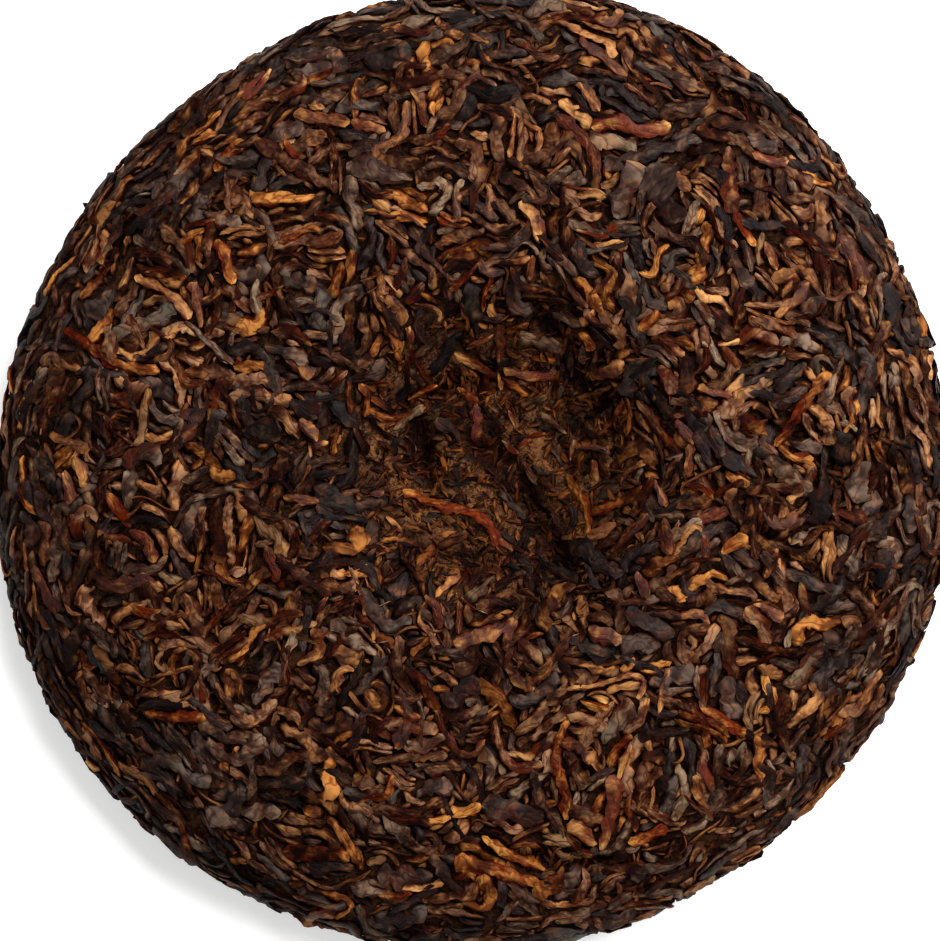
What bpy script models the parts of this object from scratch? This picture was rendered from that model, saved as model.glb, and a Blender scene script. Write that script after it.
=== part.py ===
"""Compressed tea cake: a round, pressed block of twisted leaves that lies with its dimpled face up.

Metres, +Z up. The origin is the middle of the resting face, so the cake lies on z = 0.
The block's skin is all low ridges and hollows of the size of its leaves, with the dimple,
folds and cracks that pressing leaves. The largest leaves lie over it and are fused on.
"""

import math
import random

import bmesh
import bpy
import numpy as np
from mathutils import Vector, noise

MM = 0.001

# The block, before it is dented
CAKE_RADIUS = 98.0 * MM
CREST_HEIGHT = 25.2 * MM  # of the dimpled face, halfway out from the middle
EDGE_HEIGHT = 9.5 * MM  # where the side stands upright
REST_RADIUS = 46.0 * MM  # flat spot on the underside
SHOULDER_POWER = 4.4  # a higher power squares the shoulder off
KEEL_POWER = 3.0
PROFILE_SPACING = 0.5 * MM

# Uneven outline: how many bulges round the edge, their share of the radius, the bearing of the first
OUTLINE_WAVES = ((2, 0.0133, 56.0), (3, 0.0085, -40.0), (4, 0.0035, -12.0), (5, 0.0033, -6.5))

# Dimple that the knot of the pressing cloth leaves
DIMPLE_CENTRE = Vector((6.5 * MM, 4.0 * MM))
DIMPLE_RADIUS = 39.0 * MM
DIMPLE_LEAN = 6.5 * MM  # how much nearer its steep side lies
DIMPLE_STEEP_BEARING = 30.0
DIMPLE_DEPTH = 10.5 * MM
DIMPLE_FLOOR_SHARE = 0.22  # share of the radius that is floor

# Folds of the cloth, pressed into the dimple: two ends and the depth, in millimetres
KNOT_FOLDS = (
    ((-13.0, 13.0), (-8.5, -4.0), 3.4),
    ((-11.0, 13.5), (5.0, 20.0), 2.0),
    ((-2.0, 5.0), (9.0, 0.5), 2.6),
    ((9.0, 0.5), (20.0, -19.0), 2.8),
    ((16.0, 28.0), (28.0, 8.0), 2.2),
    ((-10.0, -17.0), (16.0, -20.5), 1.8),
)
FOLD_HALF_WIDTH = 2.3 * MM

# Cracks between pressed leaves near the edge: two ends and the depth, in millimetres
EDGE_CRACKS = (
    ((-70.5, 49.0), (-78.0, 37.0), 2.6),
    ((46.0, 79.0), (59.0, 71.0), 2.8),
    ((5.0, -77.5), (30.0, -80.0), 2.0),
    ((-77.0, -36.5), (-66.5, -51.0), 2.2),
    ((71.0, 7.0), (73.0, -7.0), 1.8),
    ((57.0, -51.0), (48.0, -66.0), 1.8),
)
CRACK_HALF_WIDTH = 1.8 * MM
GROOVE_END_SHARE = 0.4  # depth of a fold or a crack at its ends, against its middle
GROOVE_SPACING = 3.6 * MM  # between the points of a fold or a crack

# Swells of the pressing
SWELL_SIZE = 34.0 * MM
SWELL_HEIGHT = 1.1 * MM
UPPER_MARGIN = 4.0 * MM  # over which the upper face's dents start above the edge

# Leaves pressed into the skin: each is a low ridge, with hollows between it and its neighbours
SEED = 357
RIDGE_SPACING = 4.9 * MM  # between the points of a ridge
RIDGE_CLEARANCE = 4.3 * MM  # between the points of two ridges
RIDGE_LIFT = (0.6 * MM, 1.3 * MM)
RIDGE_BACK_SHARE = 0.8  # lift between the middle and the end of a long ridge
RIDGE_END_LIFT = 0.1 * MM
RIDGE_BEND = 0.5  # radians at each point, at most
HOLLOW_CLEARANCE = 2.7 * MM  # between a hollow's point and a ridge
HOLLOW_DEPTH = 1.1 * MM
RIDGES_TRIED = 1500
HOLLOWS_TRIED = 9000
DIMPLE_RELIEF_SHARE = 0.6  # the cloth smooths the dimple
EDGE_BAND = (0.70, 0.92)  # shares of the radius over which the leaves turn along the edge
EDGE_TURN_SHARE = 0.75
UNDERSIDE_SPACING = 1.7  # how much wider the underside's points lie
UNDERSIDE_START = (0.50, 0.62)  # shares of the way round over which they thin out
REST_RING_POINTS = 40
GOLDEN_ANGLE = math.radians(137.508)

# Largest leaves, fused on over the top and the side
LEAVES_LAID = 80
LEAF_LENGTH = (13.0 * MM, 20.0 * MM)
LEAF_HALF_WIDTH = (1.4 * MM, 2.1 * MM)
LEAF_LIFT = 0.4 * MM  # of its middle line over the mean surface
LEAF_ARM_POINTS = 2
LEAF_BEND = 0.45  # radians at each point, at most
LEAF_TWIST = 0.5  # radians that a leaf turns about itself from point to point, at most
LEAF_TAPER = 0.65
LEAF_LOWEST = 4.5 * MM  # no fused leaf lies lower than this
WELD_DISTANCE = 0.01 * MM

TEA_COLOUR = (0.073, 0.030, 0.0155, 1.0)
TEA_ROUGHNESS = 0.62


def clear_scene():
    """Removes every object that the file starts with."""
    for obj in list(bpy.data.objects):
        bpy.data.objects.remove(obj)


def smoothstep(low, high, value):
    """0 below low, 1 above high and an even curve between them."""
    share = min(max((value - low) / (high - low), 0.0), 1.0)
    return share * share * (3.0 - 2.0 * share)


def tea_material():
    """Dark brown pressed leaf."""
    material = bpy.data.materials.new("pressed_tea")
    material.use_nodes = True
    shader = material.node_tree.nodes["Principled BSDF"]
    shader.inputs["Base Color"].default_value = TEA_COLOUR
    shader.inputs["Roughness"].default_value = TEA_ROUGHNESS
    shader.inputs["Metallic"].default_value = 0.0
    material.diffuse_color = TEA_COLOUR
    return material


def apply_modifiers(obj, name):
    """A mesh object holding what obj shows with its modifiers; obj is removed."""
    graph = bpy.context.evaluated_depsgraph_get()
    mesh = bpy.data.meshes.new_from_object(obj.evaluated_get(graph))
    made = bpy.data.objects.new(name, mesh)
    made.matrix_world = obj.matrix_world
    for collection in obj.users_collection:
        collection.objects.link(made)
    bpy.data.objects.remove(obj)
    mesh.name = name
    made.name = name
    return made


def top_height(radius):
    """Height of the undented upper face, a superellipse from the crest down to the edge."""
    share = min(radius / CAKE_RADIUS, 1.0)
    rise = CREST_HEIGHT - EDGE_HEIGHT
    return EDGE_HEIGHT + rise * math.sqrt(1.0 - share**SHOULDER_POWER)


def underside_height(radius):
    """Height of the underside, flat in the middle and rising to the edge."""
    share = min(max((radius - REST_RADIUS) / (CAKE_RADIUS - REST_RADIUS), 0.0), 1.0)
    return EDGE_HEIGHT * (1.0 - math.sqrt(1.0 - share**KEEL_POWER))


def even_points(points, spacing):
    """The same line with its points an even spacing apart."""
    lengths = [0.0]
    for before, after in zip(points, points[1:]):
        lengths.append(lengths[-1] + (after - before).length)
    count = round(lengths[-1] / spacing)
    evened = []
    at = 0
    for step in range(count + 1):
        wanted = lengths[-1] * step / count
        while at < len(points) - 2 and lengths[at + 1] < wanted:
            at += 1
        share = (wanted - lengths[at]) / (lengths[at + 1] - lengths[at])
        evened.append(points[at].lerp(points[at + 1], share))
    return evened


class Profile:
    """Outline of half the block, from the middle of the top over the edge to the middle below."""

    def __init__(self):
        steps = 400
        radii = [CAKE_RADIUS * math.sin(0.5 * math.pi * step / steps) for step in range(steps + 1)]
        top = [Vector((radius, top_height(radius))) for radius in radii]
        below = [Vector((radius, underside_height(radius))) for radius in reversed(radii[:-1])]
        self.points = even_points(top + below, PROFILE_SPACING)
        self.step = PROFILE_SPACING
        self.length = self.step * (len(self.points) - 1)

    def at(self, way):
        """Radius, height and outward normal at a way along the outline."""
        index = min(max(int(way / self.step), 0), len(self.points) - 2)
        start, end = self.points[index], self.points[index + 1]
        place = start.lerp(end, min(max(way / self.step - index, 0.0), 1.0))
        along = (end - start).normalized()
        return place.x, place.y, Vector((-along.y, along.x))

    def way_at_radius(self, radius):
        """The way along the top at which the block has some radius."""
        for index, point in enumerate(self.points):
            if point.x >= radius:
                return index * self.step
        return 0.5 * self.length

    def is_below(self, way):
        """Whether a way has passed the edge and lies on the underside."""
        return way > 0.5 * self.length

    def walk(self, way, bearing, heading, bend, step, count):
        """Ways and bearings of a line over the skin, one step after another, turning as it goes."""
        for _ in range(count):
            radius = max(self.at(way)[0], 3.0 * abs(step))
            way += step * math.cos(heading)
            bearing += step * math.sin(heading) / radius
            heading += bend
            if not 0.0 < way < self.length:
                return
            yield way, bearing


def outline_share(bearing):
    """How far the uneven edge stands out at a bearing, against the mean radius."""
    share = 1.0
    for bulges, size, first in OUTLINE_WAVES:
        share += size * math.cos(bulges * (bearing - math.radians(first)))
    return share


def dimple_share(x, y):
    """1 on the floor of the dimple, 0 outside it."""
    offset = Vector((x, y)) - DIMPLE_CENTRE
    bearing = math.atan2(offset.y, offset.x)
    reach = DIMPLE_RADIUS - DIMPLE_LEAN * math.cos(bearing - math.radians(DIMPLE_STEEP_BEARING))
    return 1.0 - smoothstep(DIMPLE_FLOOR_SHARE, 1.0, offset.length / reach)


def groove_depth(x, y, grooves, half_width):
    """Depth of the deepest of some grooves at a point. Each tapers off at its two ends."""
    deepest = 0.0
    for start, end, depth in grooves:
        start = Vector(start) * MM
        along = Vector(end) * MM - start
        offset = Vector((x, y)) - start
        share = min(max(offset.dot(along) / along.length_squared, 0.0), 1.0)
        aside = (offset - along * share).length / half_width
        taper = 1.0 - (1.0 - GROOVE_END_SHARE) * abs(2.0 * share - 1.0) ** 3
        deepest = max(deepest, depth * MM * taper * math.exp(-aside * aside))
    return deepest


def pressed_point(profile, way, bearing, lift):
    """Where a point of the block lies once the cake is pressed, lifted off its surface."""
    radius, height, facing = profile.at(way)
    outwards = Vector((math.cos(bearing), math.sin(bearing), 0.0))
    point = outwards * radius * outline_share(bearing) + Vector((0.0, 0.0, height))
    if profile.is_below(way) and radius <= REST_RADIUS:
        point.z = 0.0
        return point
    normal = outwards * facing.x + Vector((0.0, 0.0, facing.y))
    upper = smoothstep(EDGE_HEIGHT, EDGE_HEIGHT + UPPER_MARGIN, height)
    hollow = dimple_share(point.x, point.y) * upper
    fold = groove_depth(point.x, point.y, KNOT_FOLDS, FOLD_HALF_WIDTH)
    crack = groove_depth(point.x, point.y, EDGE_CRACKS, CRACK_HALF_WIDTH)
    swell = SWELL_HEIGHT * noise.noise(point / SWELL_SIZE) * upper
    point += normal * (swell + lift * (1.0 - (1.0 - DIMPLE_RELIEF_SHARE) * hollow))
    point.z -= hollow * DIMPLE_DEPTH + (fold + crack) * upper
    point.z = max(point.z, 0.0)
    return point


class Skin:
    """Points of the cake's surface, each a way along the outline, a bearing and a lift."""

    def __init__(self, profile):
        self.profile = profile
        self.marks = []
        self.places = np.empty((0, 3))

    def spacing_share(self, way):
        """How much wider the points lie here: 1 on the top, more on the underside."""
        return 1.0 + (UNDERSIDE_SPACING - 1.0) * smoothstep(*UNDERSIDE_START, way / self.profile.length)

    def has_room(self, way, bearing, clearance, among=None):
        """Whether the first points, or all of them, leave a place clear and it isn't the flat spot."""
        radius = self.profile.at(way)[0]
        if self.profile.is_below(way) and radius < REST_RADIUS + 0.5 * RIDGE_CLEARANCE:
            return False
        place = np.array(pressed_point(self.profile, way, bearing, 0.0))
        distances = np.linalg.norm(self.places[:among] - place, axis=1)
        return distances.min(initial=1.0) >= clearance * self.spacing_share(way)

    def add(self, way, bearing, lift):
        """Takes a point."""
        place = np.array(pressed_point(self.profile, way, bearing, 0.0))
        self.marks.append((way, bearing, lift))
        self.places = np.vstack((self.places, place))

    def spiral(self, count, first=0):
        """Ways and bearings spread evenly over the whole skin, thinner underneath."""
        steps = 600
        ways = [self.profile.length * (step + 0.5) / steps for step in range(steps)]
        areas = np.cumsum([self.profile.at(way)[0] / self.spacing_share(way) ** 2 for way in ways])
        for index in range(count):
            step = int(np.searchsorted(areas, areas[-1] * (index + 0.5) / count))
            yield ways[step], (index + first) * GOLDEN_ANGLE

    def mesh(self, name):
        """A closed mesh: the hull of the points on a ball, moved to where they lie on the cake."""
        shape = bmesh.new()
        for way, bearing, _ in self.marks:
            polar = math.pi * way / self.profile.length
            level = Vector((math.cos(bearing), math.sin(bearing), 0.0)) * math.sin(polar)
            shape.verts.new(level + Vector((0.0, 0.0, math.cos(polar))))
        bmesh.ops.convex_hull(shape, input=list(shape.verts))
        for vertex, mark in zip(list(shape.verts), self.marks):
            vertex.co = pressed_point(self.profile, *mark)
        bmesh.ops.recalc_face_normals(shape, faces=shape.faces)
        mesh = bpy.data.meshes.new(name)
        shape.to_mesh(mesh)
        shape.free()
        return mesh


def leaf_heading(draw, radius):
    """Which way a leaf lies: any way on the face, and more and more along the edge towards it."""
    heading = draw.uniform(0.0, math.pi)
    edge = smoothstep(*EDGE_BAND, radius / CAKE_RADIUS)
    return heading + (0.5 * math.pi - heading) * EDGE_TURN_SHARE * edge


def add_grooves(skin, grooves):
    """Points along the floor of some folds or cracks."""
    for start, end, _ in grooves:
        start, end = Vector(start) * MM, Vector(end) * MM
        count = max(round((end - start).length / GROOVE_SPACING), 1)
        for index in range(count + 1):
            place = start.lerp(end, index / count)
            bearing = math.atan2(place.y, place.x)
            way = skin.profile.way_at_radius(place.length / outline_share(bearing))
            if skin.has_room(way, bearing, 0.8 * GROOVE_SPACING):
                skin.add(way, bearing, 0.0)


def add_ridge(skin, draw, way, bearing):
    """One pressed leaf: a raised middle, and an arm each way as far as there is room."""
    heading = leaf_heading(draw, skin.profile.at(way)[0])
    bend = draw.uniform(-RIDGE_BEND, RIDGE_BEND)
    lift = draw.uniform(*RIDGE_LIFT)
    arm_points = draw.choice((1, 1, 2))
    if not skin.has_room(way, bearing, RIDGE_CLEARANCE):
        return
    others = len(skin.marks)
    skin.add(way, bearing, lift)
    step = RIDGE_SPACING * skin.spacing_share(way)
    for side in (-step, step):
        arm = skin.profile.walk(way, bearing, heading, bend, side, arm_points)
        for index, place in enumerate(arm, start=1):
            if not skin.has_room(*place, RIDGE_CLEARANCE, others):
                break
            skin.add(*place, RIDGE_END_LIFT if index == arm_points else RIDGE_BACK_SHARE * lift)


def pressed_block(profile, collection):
    """The pressed cake in a collection, its skin all ridges and hollows of the size of its leaves."""
    draw = random.Random(SEED)
    skin = Skin(profile)
    for index in range(REST_RING_POINTS):
        skin.add(profile.length - REST_RADIUS, math.tau * index / REST_RING_POINTS, 0.0)
    add_grooves(skin, KNOT_FOLDS)
    add_grooves(skin, EDGE_CRACKS)
    for way, bearing in skin.spiral(RIDGES_TRIED):
        add_ridge(skin, draw, way, bearing)
    for way, bearing in skin.spiral(HOLLOWS_TRIED, first=RIDGES_TRIED):
        if skin.has_room(way, bearing, HOLLOW_CLEARANCE):
            skin.add(way, bearing, -HOLLOW_DEPTH)
    block = bpy.data.objects.new("pressed_block", skin.mesh("pressed_block"))
    collection.objects.link(block)
    return block


def weld(mesh):
    """Joins loose caps to the sides and turns every face outwards."""
    shape = bmesh.new()
    shape.from_mesh(mesh)
    bmesh.ops.remove_doubles(shape, verts=shape.verts, dist=WELD_DISTANCE)
    bmesh.ops.recalc_face_normals(shape, faces=shape.faces)
    shape.to_mesh(mesh)
    shape.free()


def twisted_leaf(name, path, half_width, twist, holder):
    """A twisted leaf: a thick four-sided line that tapers at both ends, as a mesh in holder."""
    curve = bpy.data.curves.new(name, "CURVE")
    curve.dimensions = "3D"
    curve.bevel_depth = half_width
    curve.bevel_resolution = 0
    curve.use_fill_caps = True
    spline = curve.splines.new("POLY")
    spline.points.add(len(path) - 1)
    for index, (point, place) in enumerate(zip(spline.points, path)):
        from_middle = abs(2.0 * index / (len(path) - 1) - 1.0)
        point.co = (*place, 1.0)
        point.radius = 1.0 - LEAF_TAPER * from_middle**2
        point.tilt = twist * index
    obj = bpy.data.objects.new(name, curve)
    holder.objects.link(obj)
    leaf = apply_modifiers(obj, name)
    weld(leaf.data)


def lay_leaves(profile, holder):
    """The largest leaves, spread over the top and the side and ready to be fused."""
    draw = random.Random(SEED)
    for index, (way, bearing) in enumerate(Skin(profile).spiral(LEAVES_LAID)):
        radius, height, _ = profile.at(way)
        if profile.is_below(way) and height < LEAF_LOWEST:
            continue
        heading = leaf_heading(draw, radius)
        bend = draw.uniform(-LEAF_BEND, LEAF_BEND)
        step = draw.uniform(*LEAF_LENGTH) / (2 * LEAF_ARM_POINTS)
        before = list(profile.walk(way, bearing, heading, bend, -step, LEAF_ARM_POINTS))
        after = list(profile.walk(way, bearing, heading, bend, step, LEAF_ARM_POINTS))
        places = before[::-1] + [(way, bearing)] + after
        path = [pressed_point(profile, *place, LEAF_LIFT) for place in places]
        half_width = draw.uniform(*LEAF_HALF_WIDTH)
        twist = draw.uniform(-LEAF_TWIST, LEAF_TWIST)
        twisted_leaf(f"leaf_{index:02d}", path, half_width, twist, holder)


def fuse(block, holder, name):
    """One solid of the block and everything in holder, which is removed."""
    union = block.modifiers.new("fuse_leaves", "BOOLEAN")
    union.operation = "UNION"
    union.operand_type = "COLLECTION"
    union.collection = holder
    union.solver = "MANIFOLD"
    fused = apply_modifiers(block, name)
    for obj in list(holder.objects):
        bpy.data.objects.remove(obj)
    bpy.data.collections.remove(holder)
    return fused


def island_of(start):
    """Every vertex that edges join to one vertex."""
    found = {start}
    waiting = [start]
    while waiting:
        for edge in waiting.pop().link_edges:
            for vertex in edge.verts:
                if vertex not in found:
                    found.add(vertex)
                    waiting.append(vertex)
    return found


def keep_largest_island(mesh):
    """Fills the hollows that fusing has sealed, and drops loose scraps."""
    shape = bmesh.new()
    shape.from_mesh(mesh)
    left = set(shape.verts)
    islands = []
    while left:
        islands.append(island_of(next(iter(left))))
        left -= islands[-1]
    islands.sort(key=len)
    for island in islands[:-1]:
        bmesh.ops.delete(shape, geom=list(island), context="VERTS")
    shape.to_mesh(mesh)
    shape.free()


def main():
    clear_scene()
    tea = bpy.data.collections.new("compressed_tea")
    leaves = bpy.data.collections.new("leaves_to_fuse")
    for collection in (tea, leaves):
        bpy.context.scene.collection.children.link(collection)
    profile = Profile()
    block = pressed_block(profile, tea)
    lay_leaves(profile, leaves)
    cake = fuse(block, leaves, "tea_cake")
    keep_largest_island(cake.data)
    cake.data.materials.clear()
    cake.data.materials.append(tea_material())


main()
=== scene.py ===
"""Looks of a compressed tea cake: rolled leaves, buds, stalks and crumbs packed over a dark core.

Metres, +Z up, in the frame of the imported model. The cake lies on z = 0 with its dimpled face up.
Every leaf lies on the mean surface of the model, and fits the room that its neighbours leave.
"""

import logging
import math
from dataclasses import dataclass, field
from enum import Enum

import bmesh
import bpy
import numpy as np
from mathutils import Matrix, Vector, noise


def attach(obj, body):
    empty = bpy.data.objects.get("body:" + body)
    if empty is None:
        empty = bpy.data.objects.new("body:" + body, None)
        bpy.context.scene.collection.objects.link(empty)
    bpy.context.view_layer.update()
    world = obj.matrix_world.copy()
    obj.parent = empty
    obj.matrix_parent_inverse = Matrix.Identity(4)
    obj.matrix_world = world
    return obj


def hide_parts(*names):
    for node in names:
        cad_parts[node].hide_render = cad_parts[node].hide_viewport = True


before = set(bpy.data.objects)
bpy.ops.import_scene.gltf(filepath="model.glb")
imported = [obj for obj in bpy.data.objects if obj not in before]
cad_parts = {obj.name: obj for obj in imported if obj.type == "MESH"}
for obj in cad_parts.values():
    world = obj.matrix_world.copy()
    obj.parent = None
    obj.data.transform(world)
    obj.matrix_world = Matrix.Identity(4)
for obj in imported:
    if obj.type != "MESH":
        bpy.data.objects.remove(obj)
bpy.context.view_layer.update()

LOG = logging.getLogger("tea_cake")
MM = 0.001
BODY = "root"
NODE = "tea_cake"
SEED = 357

Array = np.ndarray
Pair = tuple[float, float]
Colour = tuple[float, float, float]
Rows = tuple[tuple[float, ...], ...]
Socket = bpy.types.NodeSocket


class Face(Enum):
    """The two faces that the leaves are laid out on."""

    UPPER = "upper"
    UNDER = "under"


class Kind(Enum):
    """Kinds of leaf, each a piece with a finish of its own."""

    BLACK = "black_leaves"
    UMBER = "umber_leaves"
    TAUPE = "taupe_leaves"
    BROWN = "brown_leaves"
    RUSSET = "russet_leaves"
    GOLD = "golden_buds"
    BROAD = "broad_leaves"
    STALK = "stalks"
    BIT = "leaf_bits"
    FIBRE = "leaf_fibres"


def mm(*values: float) -> tuple[float, ...]:
    """Some sizes in metres, from millimetres."""
    return tuple(value * MM for value in values)


def smoothstep(low: float, high: float, value: Array) -> Array:
    """An even curve from 0 below low to 1 above high."""
    share = np.clip((value - low) / (high - low), 0.0, 1.0)
    return share * share * (3.0 - 2.0 * share)


def plateau(rise: Pair, fall: Pair, value: Array) -> Array:
    """An even curve that rises to 1 over one range and falls back to 0 over another."""
    return smoothstep(*rise, value) * (1.0 - smoothstep(*fall, value))


def noise_at(points: Array, size: float, shift: float = 0.0) -> Array:
    """Smooth noise.

    Args:
        points: Places, one row each.
        size: Width of one swell.
        shift: Moves the pattern, so that two of one size differ.

    Returns:
        A value from about -1 to 1 for each place.
    """
    offset = Vector((shift, -shift, 0.5 * shift))
    return np.array([noise.noise(Vector(point) / size + offset) for point in points.tolist()])


def polar(out: Array, bearing: Array) -> Array:
    """Flat places, from how far out they lie and in which direction."""
    return np.column_stack((out * np.cos(bearing), out * np.sin(bearing)))


def unit(vectors: Array, least: float = 0.0) -> Array:
    """Vectors brought to a length of one."""
    return vectors / (np.linalg.norm(vectors, axis=1)[:, None] + least)


def square_to(tangents: Array) -> Array:
    """Flat vectors turned to the left by a right angle."""
    return np.column_stack((-tangents[:, 1], tangents[:, 0]))


def ways_along(line: Array) -> Array:
    """How far along a line each of its points lies."""
    return np.concatenate(([0.0], np.cumsum(np.linalg.norm(np.diff(line, axis=0), axis=1))))


def resampled(line: Array, ways: Array, wanted: Array) -> Array:
    """The points of a flat line at other distances along it."""
    return np.column_stack([np.interp(wanted, ways, line[:, side]) for side in (0, 1)])


def soften(values: Array) -> None:
    """Draws all values but the first and the last towards their neighbours."""
    values[1:-1] = 0.25 * (values[:-2] + values[2:]) + 0.5 * values[1:-1]


def placed(name: str, data: bpy.types.ID) -> bpy.types.Object:
    """A new object in the scene."""
    made = bpy.data.objects.new(name, data)
    bpy.context.scene.collection.objects.link(made)
    return made


def meshed(name: str, shape: bmesh.types.BMesh) -> bpy.types.Mesh:
    """A mesh of a finished shape, which is freed."""
    mesh = bpy.data.meshes.new(name)
    shape.to_mesh(mesh)
    shape.free()
    return mesh


@dataclass
class CakeForm:
    """The mean surface of the pressed cake, with the sizes that the model has.

    A row of a table of folds, cracks, hollows, shades or lobes is the x and y of its two ends, and its depth
    or share. The dark arch runs through the x and y of its rows. A row of sides is a bearing and a share,
    and a row of waves is the number of bulges, their size and the bearing of the first. Lengths in the
    tables are in millimetres, and bearings in degrees. The folds and cracks are cut into the surface and
    darkened with painted shade; the dark hollows, broad shades and dark arch are painted shade, the lobes
    painted light, and the sides and the level ring painted light and shade.
    """

    radius: float = 98 * MM
    crest_height: float = 25.2 * MM
    edge_height: float = 9.5 * MM
    rest_radius: float = 46 * MM
    shoulder_power: float = 4.4
    keel_power: float = 3.0
    spacing: float = 0.5 * MM
    outline_waves: Rows = ((2, 0.0133, 56), (3, 0.0085, -40), (4, 0.0035, -12), (5, 0.0033, -6.5))
    dimple_centre: Pair = (6.5 * MM, 4 * MM)
    dimple_radius: float = 39 * MM
    dimple_lean: float = 6.5 * MM
    dimple_steep_bearing: float = 30.0
    dimple_depth: float = 10.5 * MM
    dimple_floor_share: float = 0.22
    crush_range: Pair = (0.05, 0.6)
    knot_folds: Rows = (
        (-13, 13, -8.5, -4, 3.4), (-11, 13.5, 5, 20, 2), (-2, 5, 9, 0.5, 2.6), (9, 0.5, 12, -9, 2.8),
        (12, -9, 19, -19, 2.6), (16, 28, 28, 8, 2.2), (-10, -17, 16, -20.5, 1.8))
    fold_half_width: float = 2.3 * MM
    edge_cracks: Rows = (
        (-70.5, 49, -78, 37, 2.6), (46, 79, 59, 71, 2.8), (5, -77.5, 30, -80, 2),
        (-77, -36.5, -66.5, -51, 2.2), (71, 7, 73, -7, 1.8), (57, -51, 48, -66, 1.8))
    crack_half_width: float = 1.8 * MM
    crack_full_depth: float = 2.4 * MM
    # Painted shade in these hollows; where it is deepest, leaves are left out and the core shows.
    dark_hollows: Rows = (
        (-4.2, 34.5, -3.6, 29.5, 1), (13, 32.5, 16.5, 27, 1), (5.8, 13.2, 6.8, 12.2, 1),
        (15, -15.5, 16.5, -17, 1), (-17, -92.5, -7, -93, 1), (30, -86.5, 38, -84, 1),
        (-7, 8.4, -1, 16.8, 0.8), (-1, 16.8, 9.3, -1.7, 0.9), (-1, -18.1, 25.7, -24.3, 0.6),
        (36, 7, 38, -6, 0.6), (-19.4, 36, -12, 38, 0.6), (22, 24, 33, 16, 0.9), (38, 62, 44.5, 58.5, 0.8),
        (32.5, -61.5, 36, -53, 0.8), (-56, 52, -50, 55, 0.8), (-71.5, 13, -69, 7, 0.8),
        (-74.5, -12, -74, -19, 0.9), (-74, -28, -66, -42, 0.8), (-73, -57, -66, -61.5, 0.9),
        (-50, -78, -41, -83, 1), (-7, -72, -5, -80, 0.8), (23, -87.5, 31, -85, 0.8), (4, 87, 14, 85.5, 0.8),
        (-50, 58.5, -44, 57.5, 0.8), (-48.5, 24.5, -44, 21, 0.8), (80.5, -19, 83, -26, 0.9),
        (79.5, 40, 82, 33, 0.7), (28.5, 27.5, 33.5, 22, 0.9), (22, -21.5, 28, -24, 0.8),
        (30, 87.5, 38, 84, 0.7), (2.5, 34.5, 8, 32, 0.9), (-53, -44.5, -49, -47.5, 0.9),
        (69, -53.5, 73, -56.5, 0.9), (-82, -11, -78.5, -15, 0.8), (-83, -39, -79, -43, 0.8),
        (44, -23, 48, -25.5, 0.8), (-43, 62, -38, 60, 0.7), (-71, -49, -68, -53, 0.7),
        (32.5, -11, 35, -18, 0.8))
    hollow_half_width: float = 2.1 * MM
    # Painted shade on the dimple's steep walls that face away from the key light.
    dark_arch: Rows = (
        (-19.4, 36), (-4, 34), (13.4, 31.5), (28, 24), (36.5, 12), (38, -2), (31, -16), (24, -24))
    arch_half_width: float = 5 * MM
    # Painted shade of broad hollows in and round the dimple, and of dark spots further out.
    broad_shades: Rows = (
        (-11, 35, 6, 31.5, 0.9), (16.5, 37, 20, 15, 1), (-9, 15, -8.5, -1, 1), (3, 9, 9, -2, 0.8),
        (9, -3, 11, -12, 0.8), (12, -14.5, 18, -18.5, 1), (-2, -19.5, 18, -21.5, 0.7), (19.5, 19, 20, 7, 1),
        (-11, 11, -2.5, 6.5, 0.9), (30, 6, 33, -8, 0.6), (-14, 22, -4, 25, 0.5), (-19, 35, -29, 20, 0.6),
        (-20, 40, -9, 41, 1), (29.5, 34, 35, 31, 0.9), (30.5, -33, 36, -35, 1), (-29, 20, -28, 2, 0.6),
        (-26, -3, -20, -16, 0.5), (4, -27, 20, -30, 0.5), (-75.5, 9, -73, 5, 1), (-2, -89, 3, -89, 1),
        (-8.5, -76, -6, -78.5, 1), (-30.5, 24, -27.5, 22, 1), (31, -65, 33, -67.5, 1))
    shade_half_width: float = 3.3 * MM
    # Painted light: lighter lobes in the dimple, as lumps standing up into the light would be; the surface
    # isn't raised there, and they also take painted shade off.
    light_lobes: Rows = (
        (9.5, 24.5, 13, 24, 0.7), (8.5, 16, 14, 14, 1), (14.5, -2.5, 18.5, -9, 1), (-8.5, 0.5, -3, -2, 0.9),
        (-12, -9.5, -3, -12, 0.6), (-9, -21, -5, -22.5, 0.8), (-27, 5, -17, 3, 0.7),
        (-2.5, -26.5, 3, -29, 1), (28, -12, 33, -10, 0.6), (3, 23, 5, 27, 0.6), (-13, -4.4, 2, -9.5, 0.8))
    lobe_half_width: float = 4.4 * MM
    lobe_lift: float = 0.85
    lobe_brightness: float = 0.3
    waver: float = 1.1 * MM
    waver_sizes: tuple[float, ...] = mm(2.3, 1.7, 2.6, 1.9)
    waver_bends: Pair = (1.2, 1.4)
    knot_size: float = 4.6 * MM
    knot_share: float = 0.85
    knot_reach: Pair = (0.05, 0.5)
    knot_range: Pair = (-0.05, 0.25)
    # Painted light and shade: lighter or darker on some sides, lighter on the level ring, darker on some
    # sides of the dimple's walls.
    bright_sides: Rows = (
        (15, 0.15), (62, 0.14), (112, 0.08), (292, 0.36), (340, -0.05), (200, 0.06), (242, -0.18))
    side_spread: float = 30.0
    side_start: Pair = (0.35, 0.5)
    ring_brightness: float = 0.3
    ring_rise: Pair = (0.44, 0.6)
    ring_fall: Pair = (0.76, 0.88)
    dim_sides: Rows = ((180, 0.55), (318, 0.4))
    dim_spread: float = 42.0
    wall_rise: Pair = (0.12, 0.2)
    wall_fall: Pair = (0.38, 0.46)
    groove_end_share: float = 0.4
    swell_size: float = 34 * MM
    swell_height: float = 1.1 * MM
    upper_margin: float = 4 * MM
    length: float = field(init=False)

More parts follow.
